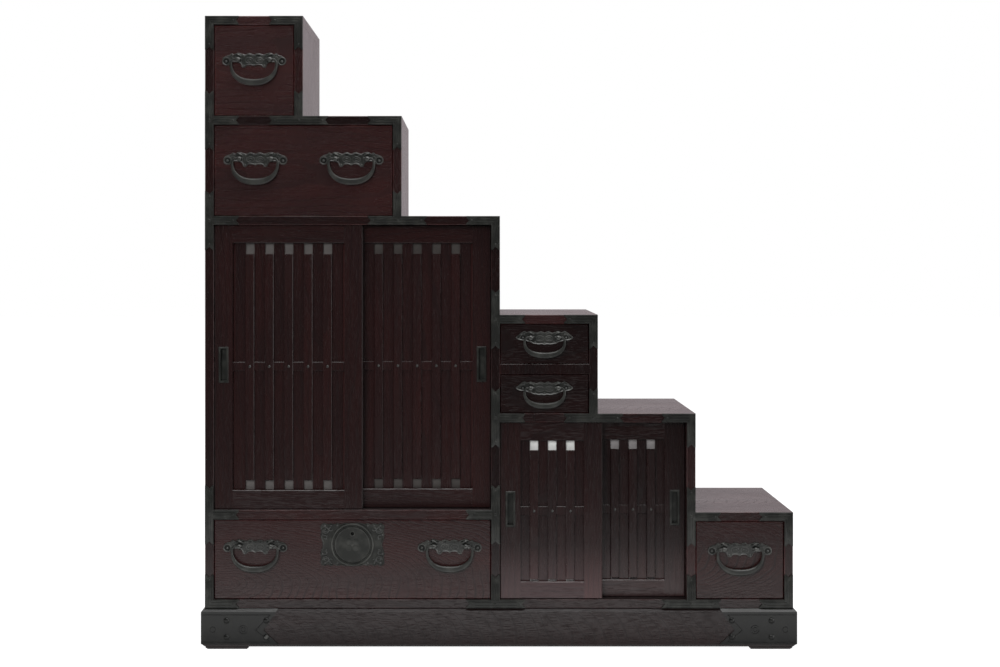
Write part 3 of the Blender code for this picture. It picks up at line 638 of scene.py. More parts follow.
def make_back_finish():
    finish, tree, shader, place = start_material("back_softwood")
    low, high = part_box("back_panel")
    spot = place_on(tree, place, (low + high) / 2, upright_facing, (0, 0, 0))
    plank = maths(tree, "DIVIDE", axes_of(tree, place)[0], back_plank)
    number = maths(tree, "FLOOR", plank)
    centred = maths(tree, "MULTIPLY", maths(tree, "ADD", number, 0.5), -back_plank)
    jump = add(tree, "CombineXYZ", {0: maths(tree, "MULTIPLY", number, plank_jump), 1: centred})
    wood = softwood_skin(tree, vectors(tree, "ADD", spot, jump.outputs[0]), ring_heart, ring_cone)
    seam = maths(tree, "LESS_THAN", maths(tree, "FRACT", plank), plank_seam / back_plank)
    colour = mixed(tree, maths(tree, "MULTIPLY", seam, seam_share), wood["Color"], softwood_late)
    height = maths(tree, "SUBTRACT", wood["Height"], seam)
    coat(tree, shader, colour, wood["Roughness"], height, wood_bump)
    return finish


paint("back_panel", make_back_finish())


# The base: four lacquered rails round an open middle, on a pad under each corner. Its front corners are
# cased in sheet iron, folded round them and over the slope, with chased lines and rings and domed nails.

base_tone = 0.36
base_iron_tone = 0.29
base_iron_ior = 1.60
base_nails_along = (0.0523, 0.1332)
base_nails_up = (0.0268, 0.0605)
base_nail_radius = 0.0056
base_nail_rise = 0.0032
base_arm = 0.155
base_notch = 0.030
base_notch_up = 0.041
base_line_in = 0.0135
base_line_width = 0.0018
base_line_rise = 0.0008
base_edge_in = 0.004
base_nail_sides = 20
base_rings = ((0.086, 0.042, 0.0085), (0.086, 0.042, 0.0045), (0.024, 0.042, 0.0055))
ring_wire = 0.0007
wire_sides = 8
curl_step = 15
# The one base nail painted bright as a painted glint: its size, colours, metal, roughness and patterns.
glint_nail_less = 0.0018
glint_nail_rise = 0.0004
glint_nail_colours = (0.05, 0.05, 0.048, 1), (0.13, 0.13, 0.125, 1)
glint_nail_metal = 0.6
glint_nail_rough, glint_nail_rough_more = 0.25, 0.2
glint_nail_scales = (300, 500, 700)
handle_bump = 0.0001

paint("base_frame", lacquered("base_frame", facing, base_tone))
base_iron_finish = plain_iron("base_iron", ior=base_iron_ior, tone=base_iron_tone)
for iron_name in ("base_iron_left", "base_iron_right"):
    paint(iron_name, base_iron_finish)


def curl(shape, x, z, level, radius, start, sweep, wire=ring_wire):
    """A wire's arc, half sunk in a sheet, from a start angle through a sweep, both in degrees."""
    whole = abs(sweep) >= 360
    turn = radians(start)
    place = Matrix.Translation((x + radius * cos(turn), level, z + radius * sin(turn)))
    across = Matrix.Rotation(-turn, 4, "Y")
    ring = bmesh.ops.create_circle(
        shape, cap_ends=not whole, radius=wire, segments=wire_sides, matrix=place @ across)
    geometry = ring["verts"] + list({edge for vert in ring["verts"] for edge in vert.link_edges})
    geometry += list({face for vert in ring["verts"] for face in vert.link_faces})
    steps = max(4, round(abs(sweep) / curl_step))
    bmesh.ops.spin(
        shape, geom=geometry, cent=(x, level, z), axis=(0, -1, 0), angle=radians(sweep),
        steps=steps, use_merge=whole, use_normal_flip=False, use_duplicate=False)


def base_trim():
    """The lines, rings and nails of one arm, counted along X from the corner, on the level 0."""
    shape = bmesh.new()
    low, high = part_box("base_iron_left")
    bottom, top = low.z + base_edge_in, high.z - 3 * base_edge_in
    end, tip = base_arm - base_line_in, base_arm - base_notch - base_line_in
    for from_notch in (True, False):
        for z in (top, bottom):
            start = (tip, base_notch_up) if from_notch else (base_edge_in, z)
            bead(shape, start, (end, z), base_line_width, base_line_rise, 0)
    for x in base_nails_along:
        for z in base_nails_up:
            dome(shape, x, z, 0, base_nail_radius, base_nail_rise, base_nail_sides)
            curl(shape, x, z, 0, base_nail_radius, 0, 360)
    for x, z, radius in base_rings:
        curl(shape, x, z, 0, radius, 0, 360)
    return shape


def make_base_trim(name, sense):
    """Lays the trim on the front of a corner and, turned, on its side."""
    low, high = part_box(name)
    corner = low.x if sense > 0 else high.x
    front, side = base_trim(), base_trim()
    bmesh.ops.rotate(side, verts=side.verts, cent=(0, 0, 0), matrix=Matrix.Rotation(pi / 2, 3, "Z"))
    for arm in (front, side):
        bmesh.ops.scale(arm, vec=(sense, 1, 1), verts=arm.verts)
        bmesh.ops.translate(arm, vec=(corner, low.y, 0), verts=arm.verts)
    mesh = meshed("side_trim", side)
    front.from_mesh(mesh)
    bpy.data.meshes.remove(mesh)
    finished(f"{name}_trim", front, base_iron_finish, "case")


def make_glint_nail():
    """The one nail whose head is painted bright: a painted glint."""
    finish, tree, shader, place = start_material("glint_nail")
    patches, scratches, relief = (noise(tree, place, scale) for scale in glint_nail_scales)
    rough = maths(tree, "MULTIPLY_ADD", scratches, glint_nail_rough_more, glint_nail_rough)
    shader.inputs["Metallic"].default_value = glint_nail_metal
    coat(tree, shader, mixed(tree, patches, *glint_nail_colours), rough, relief, handle_bump)
    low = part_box("base_iron_left")[0]
    shape = bmesh.new()
    dome(shape, low.x + base_nails_along[1], base_nails_up[0], low.y - base_nail_rise + glint_nail_rise,
         base_nail_radius - glint_nail_less, 2 * glint_nail_rise, base_nail_sides)
    finished("base_glint_nail", shape, finish, "case")


make_base_trim("base_iron_left", 1)
make_base_trim("base_iron_right", -1)
make_glint_nail()


# The drawers: a lacquered front board with eased edges, on a softwood tray of two sides, a back and
# a floor. The front's grain runs from side to side.

drawer_tones = {
    "top_drawer": 0.96, "second_drawer": 0.86, "wide_drawer": 0.86, "small_upper_drawer": 0.30,
    "small_lower_drawer": 0.30, "low_drawer": 0.69}
two_handled = ("second_drawer", "wide_drawer")


def tray_finish(name):
    finish, tree, shader, place = start_material(f"softwood_{name}")
    low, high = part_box(name)
    shift, heart, lean = plank_of(name, (low + high) / 2, high - low, lying)
    spot = place_on(tree, place, (low + high) / 2, lengthwise, shift)
    wood = softwood_skin(tree, spot, heart, lean)
    coat(tree, shader, wood["Color"], wood["Roughness"], wood["Height"], wood_bump)
    return finish


for drawer_name, drawer_tone in drawer_tones.items():
    paint(f"{drawer_name}_front", lacquered(f"{drawer_name}_front", facing, drawer_tone))
    paint(f"{drawer_name}_tray", tray_finish(f"{drawer_name}_tray"))


# The handles: a plate sawn from sheet iron to a lobed outline, its rim and its ornament chased up from
# the ground. Two ball-headed eyes stand close to it, and the forged crescent bail hangs in them by its
# turned-in ends.

plate_thick = 0.002
plate_fit = 0.0003
plate_chamfer = 0.0014
rim_width = 0.0012
rim_drop = 0.0010
outline_steps = 5
eye_from_face = 0.0085
eye_radius = 0.0052
eye_depth = 0.0045
eye_below = 0.0009
eye_hole = 0.0026
eye_arc_steps = 10
stem_radius = 0.0036
stem_into_eye = 0.0003
wire = 0.0009
pin_radius = 0.0021
pin_inner_end = 0.0075
arm_into_eye = 0.0020
arm_drop = 0.009
arm_half = 0.0026
grip_half_depth = 0.0043
grip_swell_power = 1.5
bail_squareness = 2.3
bail_sides = 40
bail_steps = 44
bend_steps = 6
edge_sharpness = 26
bail_sharp_angle = 24
flat_enough = 0.99
plate_ior = 1.75
plate_matt = 0.03
bail_ior = 1.55
bail_matt = 0.10
bail_tone = 1.2
# A dark copy of the iron for pads of painted shade round the eyes and the end lobes.
painted_shade_pad_tone = 0.35
painted_shade_pad_matt = 0.30
painted_shade_pad_sides = 32
stem_sides = 20
eye_sides = 28
brow_sides = 24
pad_rise = 0.0002
brow_turn = 22

# The facets of the grip's section: a direction, across the grip and along its depth, and how far out
# the facet lies. The inner bevel looks up and forward, and the face has a faint ridge along it.
grip_facets = (
    (-0.867, -0.497, 0.955), (-0.09, -0.996, 0.90), (0.10, -0.995, 0.955), (0.80, -0.60, 1.02),
    (1, 0, 1), (0, 1, 0.92), (0.75, 0.66, 1.08), (-0.75, 0.66, 1.0), (-1, 0, 1))

# Half outlines of the plates, as shares of half the width and of the height, top middle to bottom
# middle. Heights are counted from the axis of the eyes.
large_plate_shares = (
    (0.00, 0.32), (0.08, 0.40), (0.15, 0.43), (0.22, 0.38), (0.28, 0.33), (0.37, 0.38),
    (0.49, 0.45), (0.57, 0.41), (0.62, 0.33), (0.69, 0.41), (0.77, 0.29), (0.87, 0.23),
    (0.96, 0.10), (1.00, -0.09), (0.97, -0.29), (0.88, -0.41), (0.77, -0.37), (0.71, -0.22),
    (0.58, -0.20), (0.46, -0.24), (0.41, -0.36), (0.38, -0.52), (0.33, -0.58), (0.27, -0.55),
    (0.22, -0.43), (0.12, -0.40), (0.05, -0.43), (0.00, -0.49),
)
small_plate_shares = (
    (0.00, 0.37), (0.08, 0.44), (0.14, 0.47), (0.28, 0.36), (0.38, 0.41), (0.49, 0.48),
    (0.60, 0.39), (0.69, 0.48), (0.79, 0.39), (0.89, 0.21), (1.00, 0.01), (0.95, -0.13),
    (0.86, -0.22), (0.72, -0.26), (0.58, -0.33), (0.48, -0.38), (0.41, -0.48), (0.29, -0.52),
    (0.19, -0.56), (0.09, -0.53), (0.00, -0.58),
)

# The ornament of each half: rings are (across, above, half width, half height, gauge), domes are
# (across, above, radius, rise), curls are (across, above, radius, start, sweep, gauge), brows are
# (across, above, half length, half height, rise) and painted shade pads are (across, above, radius).
large_handle = dict(
    outline=large_plate_shares, width=0.131, height=0.030, eyes=0.065, bail_width=0.098,
    bail_drop=0.0541, grip_half=0.0065,
    rings=((0.0568, -0.0042, 0.0074, 0.0074, 0.0012), (0.0100, -0.0022, 0.0080, 0.0056, 0.0010),
           (0.0100, -0.0022, 0.0040, 0.0022, 0.0008)),
    domes=((0.0568, -0.0046, 0.0027, 0.0026), (0.0445, 0.0085, 0.0019, 0.0014),
           (0.0212, -0.0130, 0.0022, 0.0014), (0.0205, 0.0072, 0.0017, 0.0012)),
    curls=((0.0100, 0.0030, 0.0070, 35, 110, 0.0009), (0.0455, 0.0010, 0.0034, -60, 250, 0.0009),
           (0.0205, -0.0035, 0.0060, -50, 110, 0.0009)),
    brow=(0.0310, 0.0086, 0.0064, 0.0022, 0.0030),
    painted_shade_pads=((0.0568, -0.0042, 0.0066), (0.0322, -0.0006, 0.0066)), foot=(-0.0122, 0.0020),
)
small_handle = dict(
    outline=small_plate_shares, width=0.117, height=0.027, eyes=0.0565, bail_width=0.087,
    bail_drop=0.0425, grip_half=0.0059,
    rings=((0.0095, -0.0020, 0.0080, 0.0052, 0.0010), (0.0095, -0.0020, 0.0042, 0.0020, 0.0008)),
    domes=((0.0410, 0.0072, 0.0014, 0.0010), (0.0470, 0.0045, 0.0014, 0.0010),
           (0.0500, 0.0000, 0.0014, 0.0010), (0.0440, -0.0010, 0.0022, 0.0018),
           (0.0190, -0.0095, 0.0016, 0.0010)),
    curls=((0.0095, 0.0022, 0.0070, 35, 110, 0.0009), (0.0450, 0.0012, 0.0060, 20, 120, 0.0008),
           (0.0208, -0.0015, 0.0055, -60, 120, 0.0008)),
    brow=(0.0262, 0.0082, 0.0060, 0.0021, 0.0028),
    painted_shade_pads=((0.0440, -0.0010, 0.0048), (0.0280, -0.0006, 0.0062)), foot=(-0.0112, 0.0018),
)
plate_iron = plain_iron(
    "plate_iron", handle_bump, plate_matt, plate_ior,
    ground=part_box("top_drawer_front")[0].y - plate_fit - plate_thick + rim_drop)
bail_iron = plain_iron("bail_iron", handle_bump, bail_matt, bail_ior, bail_tone)
painted_shade_pad_iron = plain_iron("painted_shade_pad_iron", handle_bump, painted_shade_pad_matt, sheet_ior, painted_shade_pad_tone)


def rounded(points):
    """A closed outline drawn smoothly through its points."""
    count = len(points)
    curve = []
    for n in range(count):
        before, start, end, after = (Vector(points[(n + k) % count]) for k in (-1, 0, 1, 2))
        for step in range(outline_steps):
            t = step / outline_steps
            curve.append(
                start + (end - before) * (t / 2)
                + (before * 2 - start * 5 + end * 4 - after) * (t * t / 2)
                + (start * 3 - before - end * 3 + after) * (t ** 3 / 2))
    return curve


def whole_outline(shares, width, height):
    half = [Vector((x * width / 2, z * height)) for x, z in shares]
    return half + [Vector((-point.x, point.y)) for point in reversed(half[1:-1])]


def widest(shape, toward):
    """The largest flat face that looks along Y one way or the other."""
    flat = [face for face in shape.faces if face.normal.y * toward > flat_enough]
    return max(flat, key=lambda face: face.calc_area())


def chase_rim(shape, width):
    """Sinks the ground of a sheet's front, which leaves a rim along its outline."""
    front = widest(shape, -1)
    bmesh.ops.inset_region(shape, faces=[front], thickness=width, depth=0, use_boundary=True,
                           use_even_offset=True)
    bmesh.ops.translate(shape, vec=(0, rim_drop, 0), verts=front.verts)


def oval(shape, x, z, level, half_width, half_height, gauge):
    """A closed oval line."""
    before = set(shape.verts)
    curl(shape, 0, 0, level, half_height, 0, 360, gauge)
    fresh = [vert for vert in shape.verts if vert not in before]
    bmesh.ops.scale(shape, vec=(half_width / half_height, 1, 1), verts=fresh)
    bmesh.ops.translate(shape, vec=(x, 0, z), verts=fresh)


def eye(shape, x, z, y):
    """The ball head of an eye, bored along X for the bail's pin, a little flattened in front and
    hanging a little below its bore."""
    opening = acos(eye_hole / eye_radius)
    turns = [opening * (2 * step / eye_arc_steps - 1) for step in range(eye_arc_steps + 1)]
    verts = [shape.verts.new((eye_radius * sin(turn), -eye_radius * cos(turn), 0)) for turn in turns]
    edges = [shape.edges.new(pair) for pair in zip(verts, verts[1:] + verts[:1])]
    before = set(shape.verts) - set(verts)
    bmesh.ops.spin(
        shape, geom=verts + edges, cent=(0, 0, 0), axis=(1, 0, 0), angle=2 * pi, steps=eye_sides,
        use_merge=True, use_duplicate=False)
    fresh = [vert for vert in shape.verts if vert not in before]
    bmesh.ops.scale(shape, vec=(1, eye_depth / eye_radius, 1), verts=fresh)
    for vert in fresh:
        out = max(0, (Vector(vert.co.yz).length - eye_hole) / (eye_depth - eye_hole))
        vert.co.z -= eye_below * out
    bmesh.ops.translate(shape, vec=(x, y, z), verts=fresh)


def brow(shape, x, z, level, sense, half_length, half_height, rise):
    """The long boss over an eye, its inner end lower."""
    place = Matrix.Translation((x, level, z)) @ Matrix.Rotation(-radians(brow_turn) * sense, 4, "Y")
    bmesh.ops.create_uvsphere(
        shape, u_segments=brow_sides, v_segments=brow_sides // 2, radius=1,
        matrix=place @ Matrix.Diagonal((half_length, rise, half_height, 1)))


def painted_shade_pad(shape, x, z, level, radius):
    """A dark disc a hair proud of the sheet round a boss, in the piece's second finish: painted shade.
    """
    before = set(shape.faces)
    drum(shape, x, level, z, radius, 2 * pad_rise, painted_shade_pad_sides)
    for face in set(shape.faces) - before:
        face.material_index = 1


def stem(shape, x, z, start, end):
    """The round shank of an eye, from the plate to the ball."""
    drum(shape, x, (start + end) / 2, z, stem_radius, abs(end - start), stem_sides)


def mirrored_curl(shape, x, z, level, sense, across, above, radius, start, sweep, gauge):
    """A curl on the right-hand half, or its mirror image on the left."""
    if sense < 0:
        start, sweep = 180 - start, -sweep
    curl(shape, x + sense * across, z + above, level, radius, start, sweep, gauge)


def make_plate(label, kind, body, face):
    """The plate of a handle, with its eyes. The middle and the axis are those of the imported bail."""
    low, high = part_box(f"{label}_bail")
    middle, axis_z = (low.x + high.x) / 2, high.z - pin_radius_box
    back = face - plate_fit
    shape = bmesh.new()
    outline = rounded(whole_outline(kind["outline"], kind["width"], kind["height"]))
    sheet_metal(shape, [(middle + p.x, axis_z + p.y) for p in outline], back, plate_thick, plate_chamfer)
    chase_rim(shape, rim_width)
    ground = back - plate_thick + rim_drop
    pivot = face - eye_from_face
    foot_z, foot_radius = kind["foot"]
    dome(shape, middle, axis_z + foot_z, ground, foot_radius, foot_radius / 2)
    for sense in (1, -1):
        x = middle + sense * kind["eyes"] / 2
        eye(shape, x, axis_z, pivot)
        stem(shape, x, axis_z, back, pivot + eye_hole + stem_into_eye)
        across, above, half_length, half_height, height = kind["brow"]
        brow(shape, middle + sense * across, axis_z + above, ground, sense, half_length, half_height,
             height)
        for across, above, radius in kind["painted_shade_pads"]:
            painted_shade_pad(shape, middle + sense * across, axis_z + above, ground, radius)
        for across, above, half_width, half_height, gauge in kind["rings"]:
            oval(shape, middle + sense * across, axis_z + above, ground, half_width, half_height, gauge)
        for across, above, radius, rise in kind["domes"]:
            dome(shape, middle + sense * across, axis_z + above, ground, radius, rise)
        for curled in kind["curls"]:
            mirrored_curl(shape, middle, axis_z, ground, sense, *curled)
    piece = finished(f"{label}_chased_plate", shape, plate_iron, body)
    piece.data.materials.append(painted_shade_pad_iron)
    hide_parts(f"{label}_plate")


def bail_stations(kind):
    """The bail's line from one pin to the other, with half sizes and how faceted it is there."""
    half_eyes = kind["eyes"] / 2
    arm = kind["bail_width"] / 2 - arm_half
    bend = half_eyes + eye_radius - arm_into_eye + pin_radius
    sweep = kind["bail_drop"] - kind["grip_half"] - arm_drop
    half = [(half_eyes - pin_inner_end, 0, pin_radius, pin_radius, 0),
            (half_eyes, 0, pin_radius, pin_radius, 0), (bend, 0, pin_radius, pin_radius, 0)]
    for step in range(1, bend_steps):
        share = step / bend_steps
        turn = share * pi / 2
        size = pin_radius + (arm_half - pin_radius) * share
        half.append((bend + (arm - bend) * sin(turn), arm_drop * (cos(turn) - 1), size, size, share / 2))
    middle = []
    for step in range(bail_steps + 1):
        turn = pi * step / bail_steps
        across = abs(cos(turn)) ** (2 / bail_squareness) * (1 if turn < pi / 2 else -1)
        down_share = abs(sin(turn)) ** (2 / bail_squareness)
        swell = abs(sin(turn)) ** grip_swell_power
        middle.append((
            arm * across, -arm_drop - sweep * down_share,
            arm_half + (kind["grip_half"] - arm_half) * swell,
            arm_half + (grip_half_depth - arm_half) * swell, min(1, 0.5 + swell)))
    mirrored = [(-x, *rest) for x, *rest in reversed(half)]
    return half + middle + mirrored


def facet_reach(across, deep):
    """How far the faceted section reaches in a direction, its edges a little rounded."""
    facing_shares = (max(0, across * x + deep * y) / out for x, y, out in grip_facets)
    return sum(share ** edge_sharpness for share in facing_shares) ** (-1 / edge_sharpness)


def make_bail(label, kind):
    low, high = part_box(f"{label}_bail")
    middle, axis_z = (low.x + high.x) / 2, high.z - pin_radius_box
    pivot = (low.y + high.y) / 2
    shape = bmesh.new()
    line = bail_stations(kind)
    previous = None
    for n, (x, z, wide, deep, faceted) in enumerate(line):
        before, after = line[max(n - 1, 0)], line[min(n + 1, len(line) - 1)]
        along = Vector((after[0] - before[0], 0, after[1] - before[1])).normalized()
        across = Vector((-along.z, 0, along.x))
        ring = bmesh.ops.create_circle(
            shape, cap_ends=n in (0, len(line) - 1), radius=1, segments=bail_sides)["verts"]
        for vert in ring:
            reach = 1 + (facet_reach(vert.co.x, vert.co.y) - 1) * faceted
            vert.co = (Vector((middle + x, pivot, axis_z + z)) + across * vert.co.x * reach * wide
                       + Vector((0, 1, 0)) * vert.co.y * reach * deep)
        edges = list({edge for vert in ring for edge in vert.link_edges})
        if previous:
            bmesh.ops.bridge_loops(shape, edges=previous + edges)
        previous = edges
    piece = finished(f"{label}_forged_bail", shape, bail_iron, f"{label}_bail", bail_sharp_angle)
    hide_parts(f"{label}_bail")


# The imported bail's box ends a little above its axis, because its round pins have few sides.
pin_radius_box = pin_radius * cos(pi / 8)
for drawer_name in drawer_tones:
    kind = small_handle if drawer_name.startswith("small") else large_handle
    drawer_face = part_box(f"{drawer_name}_front")[0].y
    for which in ("_left", "_right") if drawer_name in two_handled else ("",):
        make_plate(drawer_name + which, kind, drawer_name, drawer_face)
        make_bail(drawer_name + which, kind)


# The lock of the wide drawer: a sheet of iron with a scalloped edge, a chased rim and curls in its four
# corners, a heavy double ring, and a slightly raised disc with plain chased petals round its middle. The
# keyhole is pierced right through, with a near-black disc behind it as painted shade in the hole.

lock_thick = 0.002
lock_rim = 0.0015
lock_ring_radius = 0.0422
lock_inner_ring_radius = 0.0352
lock_ring_wire = 0.0022
lock_inner_ring_wire = 0.0016
lock_groove_radius = 0.0388
lock_wire = 0.0016
lock_ornament_highlight_tone = 1.2
lock_matt = 0.10
disc_radius = 0.0340
disc_rise = 0.0010
keyhole_radius = 0.0036
keyhole_up = 0.0225
# The near-black disc behind the keyhole, painted shade in the hole.
throat_radius = 0.0050
throat_thick = 0.0002
keyhole_shade_colour = (0.0012, 0.0011, 0.0011, 1)
disc_sides = 72
petal_sides = 24
hole_sides = 32
throat_sides = 24
throat_scale = 400
petals = 4
petal_radius = 0.0062
petal_rise = 0.0004
petal_out = 0.0098
petal_middle = (petal_radius / 2, petal_rise * 1.5)
lock_dome_share = 0.7

# One quarter of its outline, from the dip in its side to the middle of its top.
lock_quarter = (
    (0.0612, 0.0000), (0.0615, 0.0050), (0.0630, 0.0085), (0.0642, 0.0130), (0.0655, 0.0195),
    (0.0640, 0.0235), (0.0642, 0.0290), (0.0655, 0.0350), (0.0635, 0.0410), (0.0570, 0.0440),
    (0.0505, 0.0412), (0.0440, 0.0438), (0.0375, 0.0412), (0.0310, 0.0440), (0.0240, 0.0420),
    (0.0150, 0.0440), (0.0000, 0.0440),
)
lock_domes = (
    (0.0565, 0.0382, 0.0027), (0.0440, 0.0385, 0.0022), (0.0310, 0.0385, 0.0022),
    (0.0612, 0.0195, 0.0023), (0.0535, 0.0115, 0.0019),
)
lock_curls = (
    (0.0545, 0.0295, 0.0058, 20, -300), (0.0545, 0.0295, 0.0027, 200, 260),
    (0.0445, 0.0320, 0.0034, 200, 260), (0.0560, 0.0160, 0.0036, -60, -260),
)


def lock_outline():
    """The whole outline, drawn smoothly round the four mirrored quarters."""
    quarter = [Vector(point) for point in lock_quarter]
    half = quarter + [Vector((-point.x, point.y)) for point in reversed(quarter[:-1])]
    return rounded(half + [Vector((point.x, -point.y)) for point in reversed(half[1:-1])])


def pierced(shape, faces, x, z, radius):
    """Opens a round hole through two flat faces, and walls it."""
    walls = []
    for face in faces:
        place = upended(x, face.calc_center_median().y, z)
        ring = bmesh.ops.create_circle(
            shape, cap_ends=False, radius=radius, segments=hole_sides, matrix=place)
        hole = list({edge for vert in ring["verts"] for edge in vert.link_edges})
        edges = list(face.edges)
        bmesh.ops.delete(shape, geom=[face], context="FACES_ONLY")
        bmesh.ops.triangle_fill(shape, use_beauty=True, use_dissolve=False, edges=edges + hole)
        walls += hole
    bmesh.ops.bridge_loops(shape, edges=walls)


def make_keyhole_shade(x, z, level):
    """A near-black disc behind the keyhole: painted shade in the hole."""
    finish, tree, shader, place = start_material("keyhole_painted_shade")
    tone = mixed(tree, noise(tree, place, throat_scale), keyhole_shade_colour, black_iron)
    tree.links.new(tone, shader.inputs["Base Color"])
    make_dull(shader)
    shape = bmesh.new()
    drum(shape, x, level, z, throat_radius, throat_thick, throat_sides)
    finished("keyhole_shade_disc", shape, finish, "wide_drawer")


def make_lock():
    low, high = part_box("lock_plate")
    x, z, back = (low.x + high.x) / 2, (low.z + high.z) / 2, high.y
    level = back - lock_thick
    shape = bmesh.new()
    outline = [(x + point.x, z + point.y) for point in lock_outline()]
    sheet_metal(shape, outline, back, lock_thick, plate_chamfer)
    chase_rim(shape, lock_rim)
    shape.normal_update()
    pierced(shape, [widest(shape, -1), widest(shape, 1)], x, z + keyhole_up, keyhole_radius)
    ground = level + rim_drop
    before = set(shape.faces)
    disc_level = level - disc_rise
    drum(shape, x, (back + disc_level) / 2, z, disc_radius, back - disc_level, disc_sides)
    shape.normal_update()
    caps = [face for face in set(shape.faces) - before if abs(face.normal.y) > flat_enough]
    pierced(shape, caps, x, z + keyhole_up, keyhole_radius)
    for radius, gauge in ((lock_ring_radius, lock_ring_wire), (lock_groove_radius, wire),
                          (lock_inner_ring_radius, lock_inner_ring_wire)):
        curl(shape, x, z, level, radius, 0, 360, gauge)
    curl(shape, x, z + keyhole_up, disc_level, keyhole_radius + wire, 0, 360, wire)
    for petal in range(petals):
        turn = 2 * pi * (petal + 0.5) / petals
        dome(shape, x + petal_out * cos(turn), z + petal_out * sin(turn), disc_level, petal_radius,
             petal_rise, petal_sides)
    dome(shape, x, z, disc_level, *petal_middle)
    before = set(shape.faces)
    for sense_x in (1, -1):
        for sense_z in (1, -1):
            for across, above, radius in lock_domes:
                dome(shape, x + sense_x * across, z + sense_z * above, ground, radius,
                     radius * lock_dome_share)
            for across, above, radius, start, sweep in lock_curls:
                if sense_z < 0:
                    start, sweep = -start, -sweep
                mirrored_curl(shape, x, z, ground, sense_x, across, sense_z * above, radius, start,
                              sweep, lock_wire)
    for face in set(shape.faces) - before:
        face.material_index = 1
    iron = plain_iron("lock_iron", handle_bump, lock_matt, sheet_ior, ground=disc_level)
    piece = finished("lock_chased_plate", shape, iron, "wide_drawer")
    # The corner domes and curls take a lighter, glossier copy of the iron, a painted highlight.
    piece.data.materials.append(plain_iron(
        "lock_ornament_highlight_iron", handle_bump, plate_matt, plate_ior, lock_ornament_highlight_tone))
    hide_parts("lock_plate")
    make_keyhole_shade(x, z + keyhole_up, back - throat_thick)


make_lock()


# The sliding doors: stiles and rails of the same lacquered wood round upright strips, which cross a
# middle rail in front of wide slats. A thin board closes each door's back, an iron nail fixes each
# strip to the rail, and an iron cup let into the outer stile is the finger pull.

big_strips = dict(count=5, pitch=0.0397)
small_strips = dict(count=3, pitch=0.0371)
door_tones = {
    "big_left_door": 0.55, "big_right_door": 0.62, "small_left_door": 0.60, "small_right_door": 0.52}
# A painted reflection of the pale floor on the small doors: colour shares per channel at the foot,
# lighter and greyer, and the share above it, a little darker.
door_floor_reflection = {
    "small_left_door": ((3.3, 5.0, 5.3), 0.75), "small_right_door": ((2.9, 4.7, 4.7), 0.70)}
floor_reflection_share = 0.3
# The door's side faces, in the gap between the doors, are painted darker as painted shade and made
# duller.
side_matt = 0.5
side_band = 0.0018
side_shade_tone = 0.7
strip_setback = 0.0015
door_nail_radius = 0.0027
door_nail_rise = 0.0016
# The backing boards are alike; each door's is painted in its own tone as painted light and shade: darker
# on the rear doors, and far darker on the big doors than the small.
backing_painted_light_tones = {
    "big_left_door": (0.094, 0.086, 0.083, 1), "big_right_door": (0.050, 0.044, 0.041, 1),
    "small_left_door": (0.69, 0.695, 0.68, 1), "small_right_door": (0.23, 0.215, 0.215, 1)}
backing_shade = 0.8
backing_border_in = 0.003
mottle_scale, mottle_limits = 30, (0.35, 0.65)
backing_rough, mottle_rough = 0.40, 0.2
backing_relief_scale = 700
pull_bump = 0.00015
strip_jump = 0.41
pull_iron = plain_iron("pull_iron", pull_bump)


def door_finish(name, pitch):
    """Upright grain on stiles, strips and slats, each its own plank, and lying grain on the rails."""
    finish, tree, shader, place = start_material(f"lacquered_{name}")
    low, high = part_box(f"{name}_frame")
    pane_low, pane_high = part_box(f"{name}_panel")
    middle = (pane_low + pane_high) / 2
    shift, heart, lean = plank_of(name, middle, high - low, upright_facing)
    x, _, z = axes_of(tree, vectors(tree, "SUBTRACT", place, middle))
    inside = maths(tree, "LESS_THAN", maths(tree, "ABSOLUTE", x), (pane_high.x - pane_low.x) / 2)
    beyond = maths(
        tree, "GREATER_THAN", maths(tree, "ABSOLUTE", z), (pane_high.z - pane_low.z) / 2)
    is_rail = maths(tree, "MULTIPLY", inside, beyond)
    number = maths(tree, "MULTIPLY", maths(tree, "ROUND", maths(tree, "DIVIDE", x, pitch / 2)), inside)
    jump = add(tree, "CombineXYZ", {0: maths(tree, "MULTIPLY", number, strip_jump)}).outputs[0]
    stile_spot = place_on(tree, place, middle, upright_facing, shift)
    rail_spot = place_on(tree, place, (middle.x, middle.y, high.z), facing, shift)
    inputs = {0: is_rail, 4: vectors(tree, "ADD", stile_spot, jump), 5: rail_spot}
    spot = add(tree, "Mix", inputs, data_type="VECTOR").outputs[1]
    tones = toned(door_tones[name], plain_figure)
    wood = skin(tree, grain_group, {"Place": spot, "Heart": heart, "Cone": lean, **tones})
    colour = wood["Color"]
    # The small doors are painted lighter and greyer towards the bottom, a painted reflection of the pale
    # floor, and a little darker above it.
    if name in door_floor_reflection:
        foot = low.z - middle.z
        worn, usual = door_floor_reflection[name]
        faded = add(tree, "CombineColor", {channel: add(tree, "MapRange", {
            "Value": z, "From Min": foot, "From Max": foot + (high.z - low.z) * floor_reflection_share,
            "To Min": share, "To Max": usual}).outputs[0] for channel, share in enumerate(worn)})
        colour = mixed(tree, 1.0, colour, faded.outputs[0], "MULTIPLY")
    # The door's side faces and a narrow band beside them are painted darker, painted shade in the gap
    # between the doors, and made duller.
    out = maths(tree, "ABSOLUTE", maths(tree, "ADD", x, middle.x - (low.x + high.x) / 2))
    is_side = maths(tree, "GREATER_THAN", out, (high.x - low.x) / 2 - side_band)
    colour = multiplied(tree, is_side, colour, side_shade_tone)
    rough = maths(tree, "MULTIPLY_ADD", is_side, side_matt, wood["Roughness"])
    coat(tree, shader, colour, rough, wood["Height"], wood_bump)
    return finish


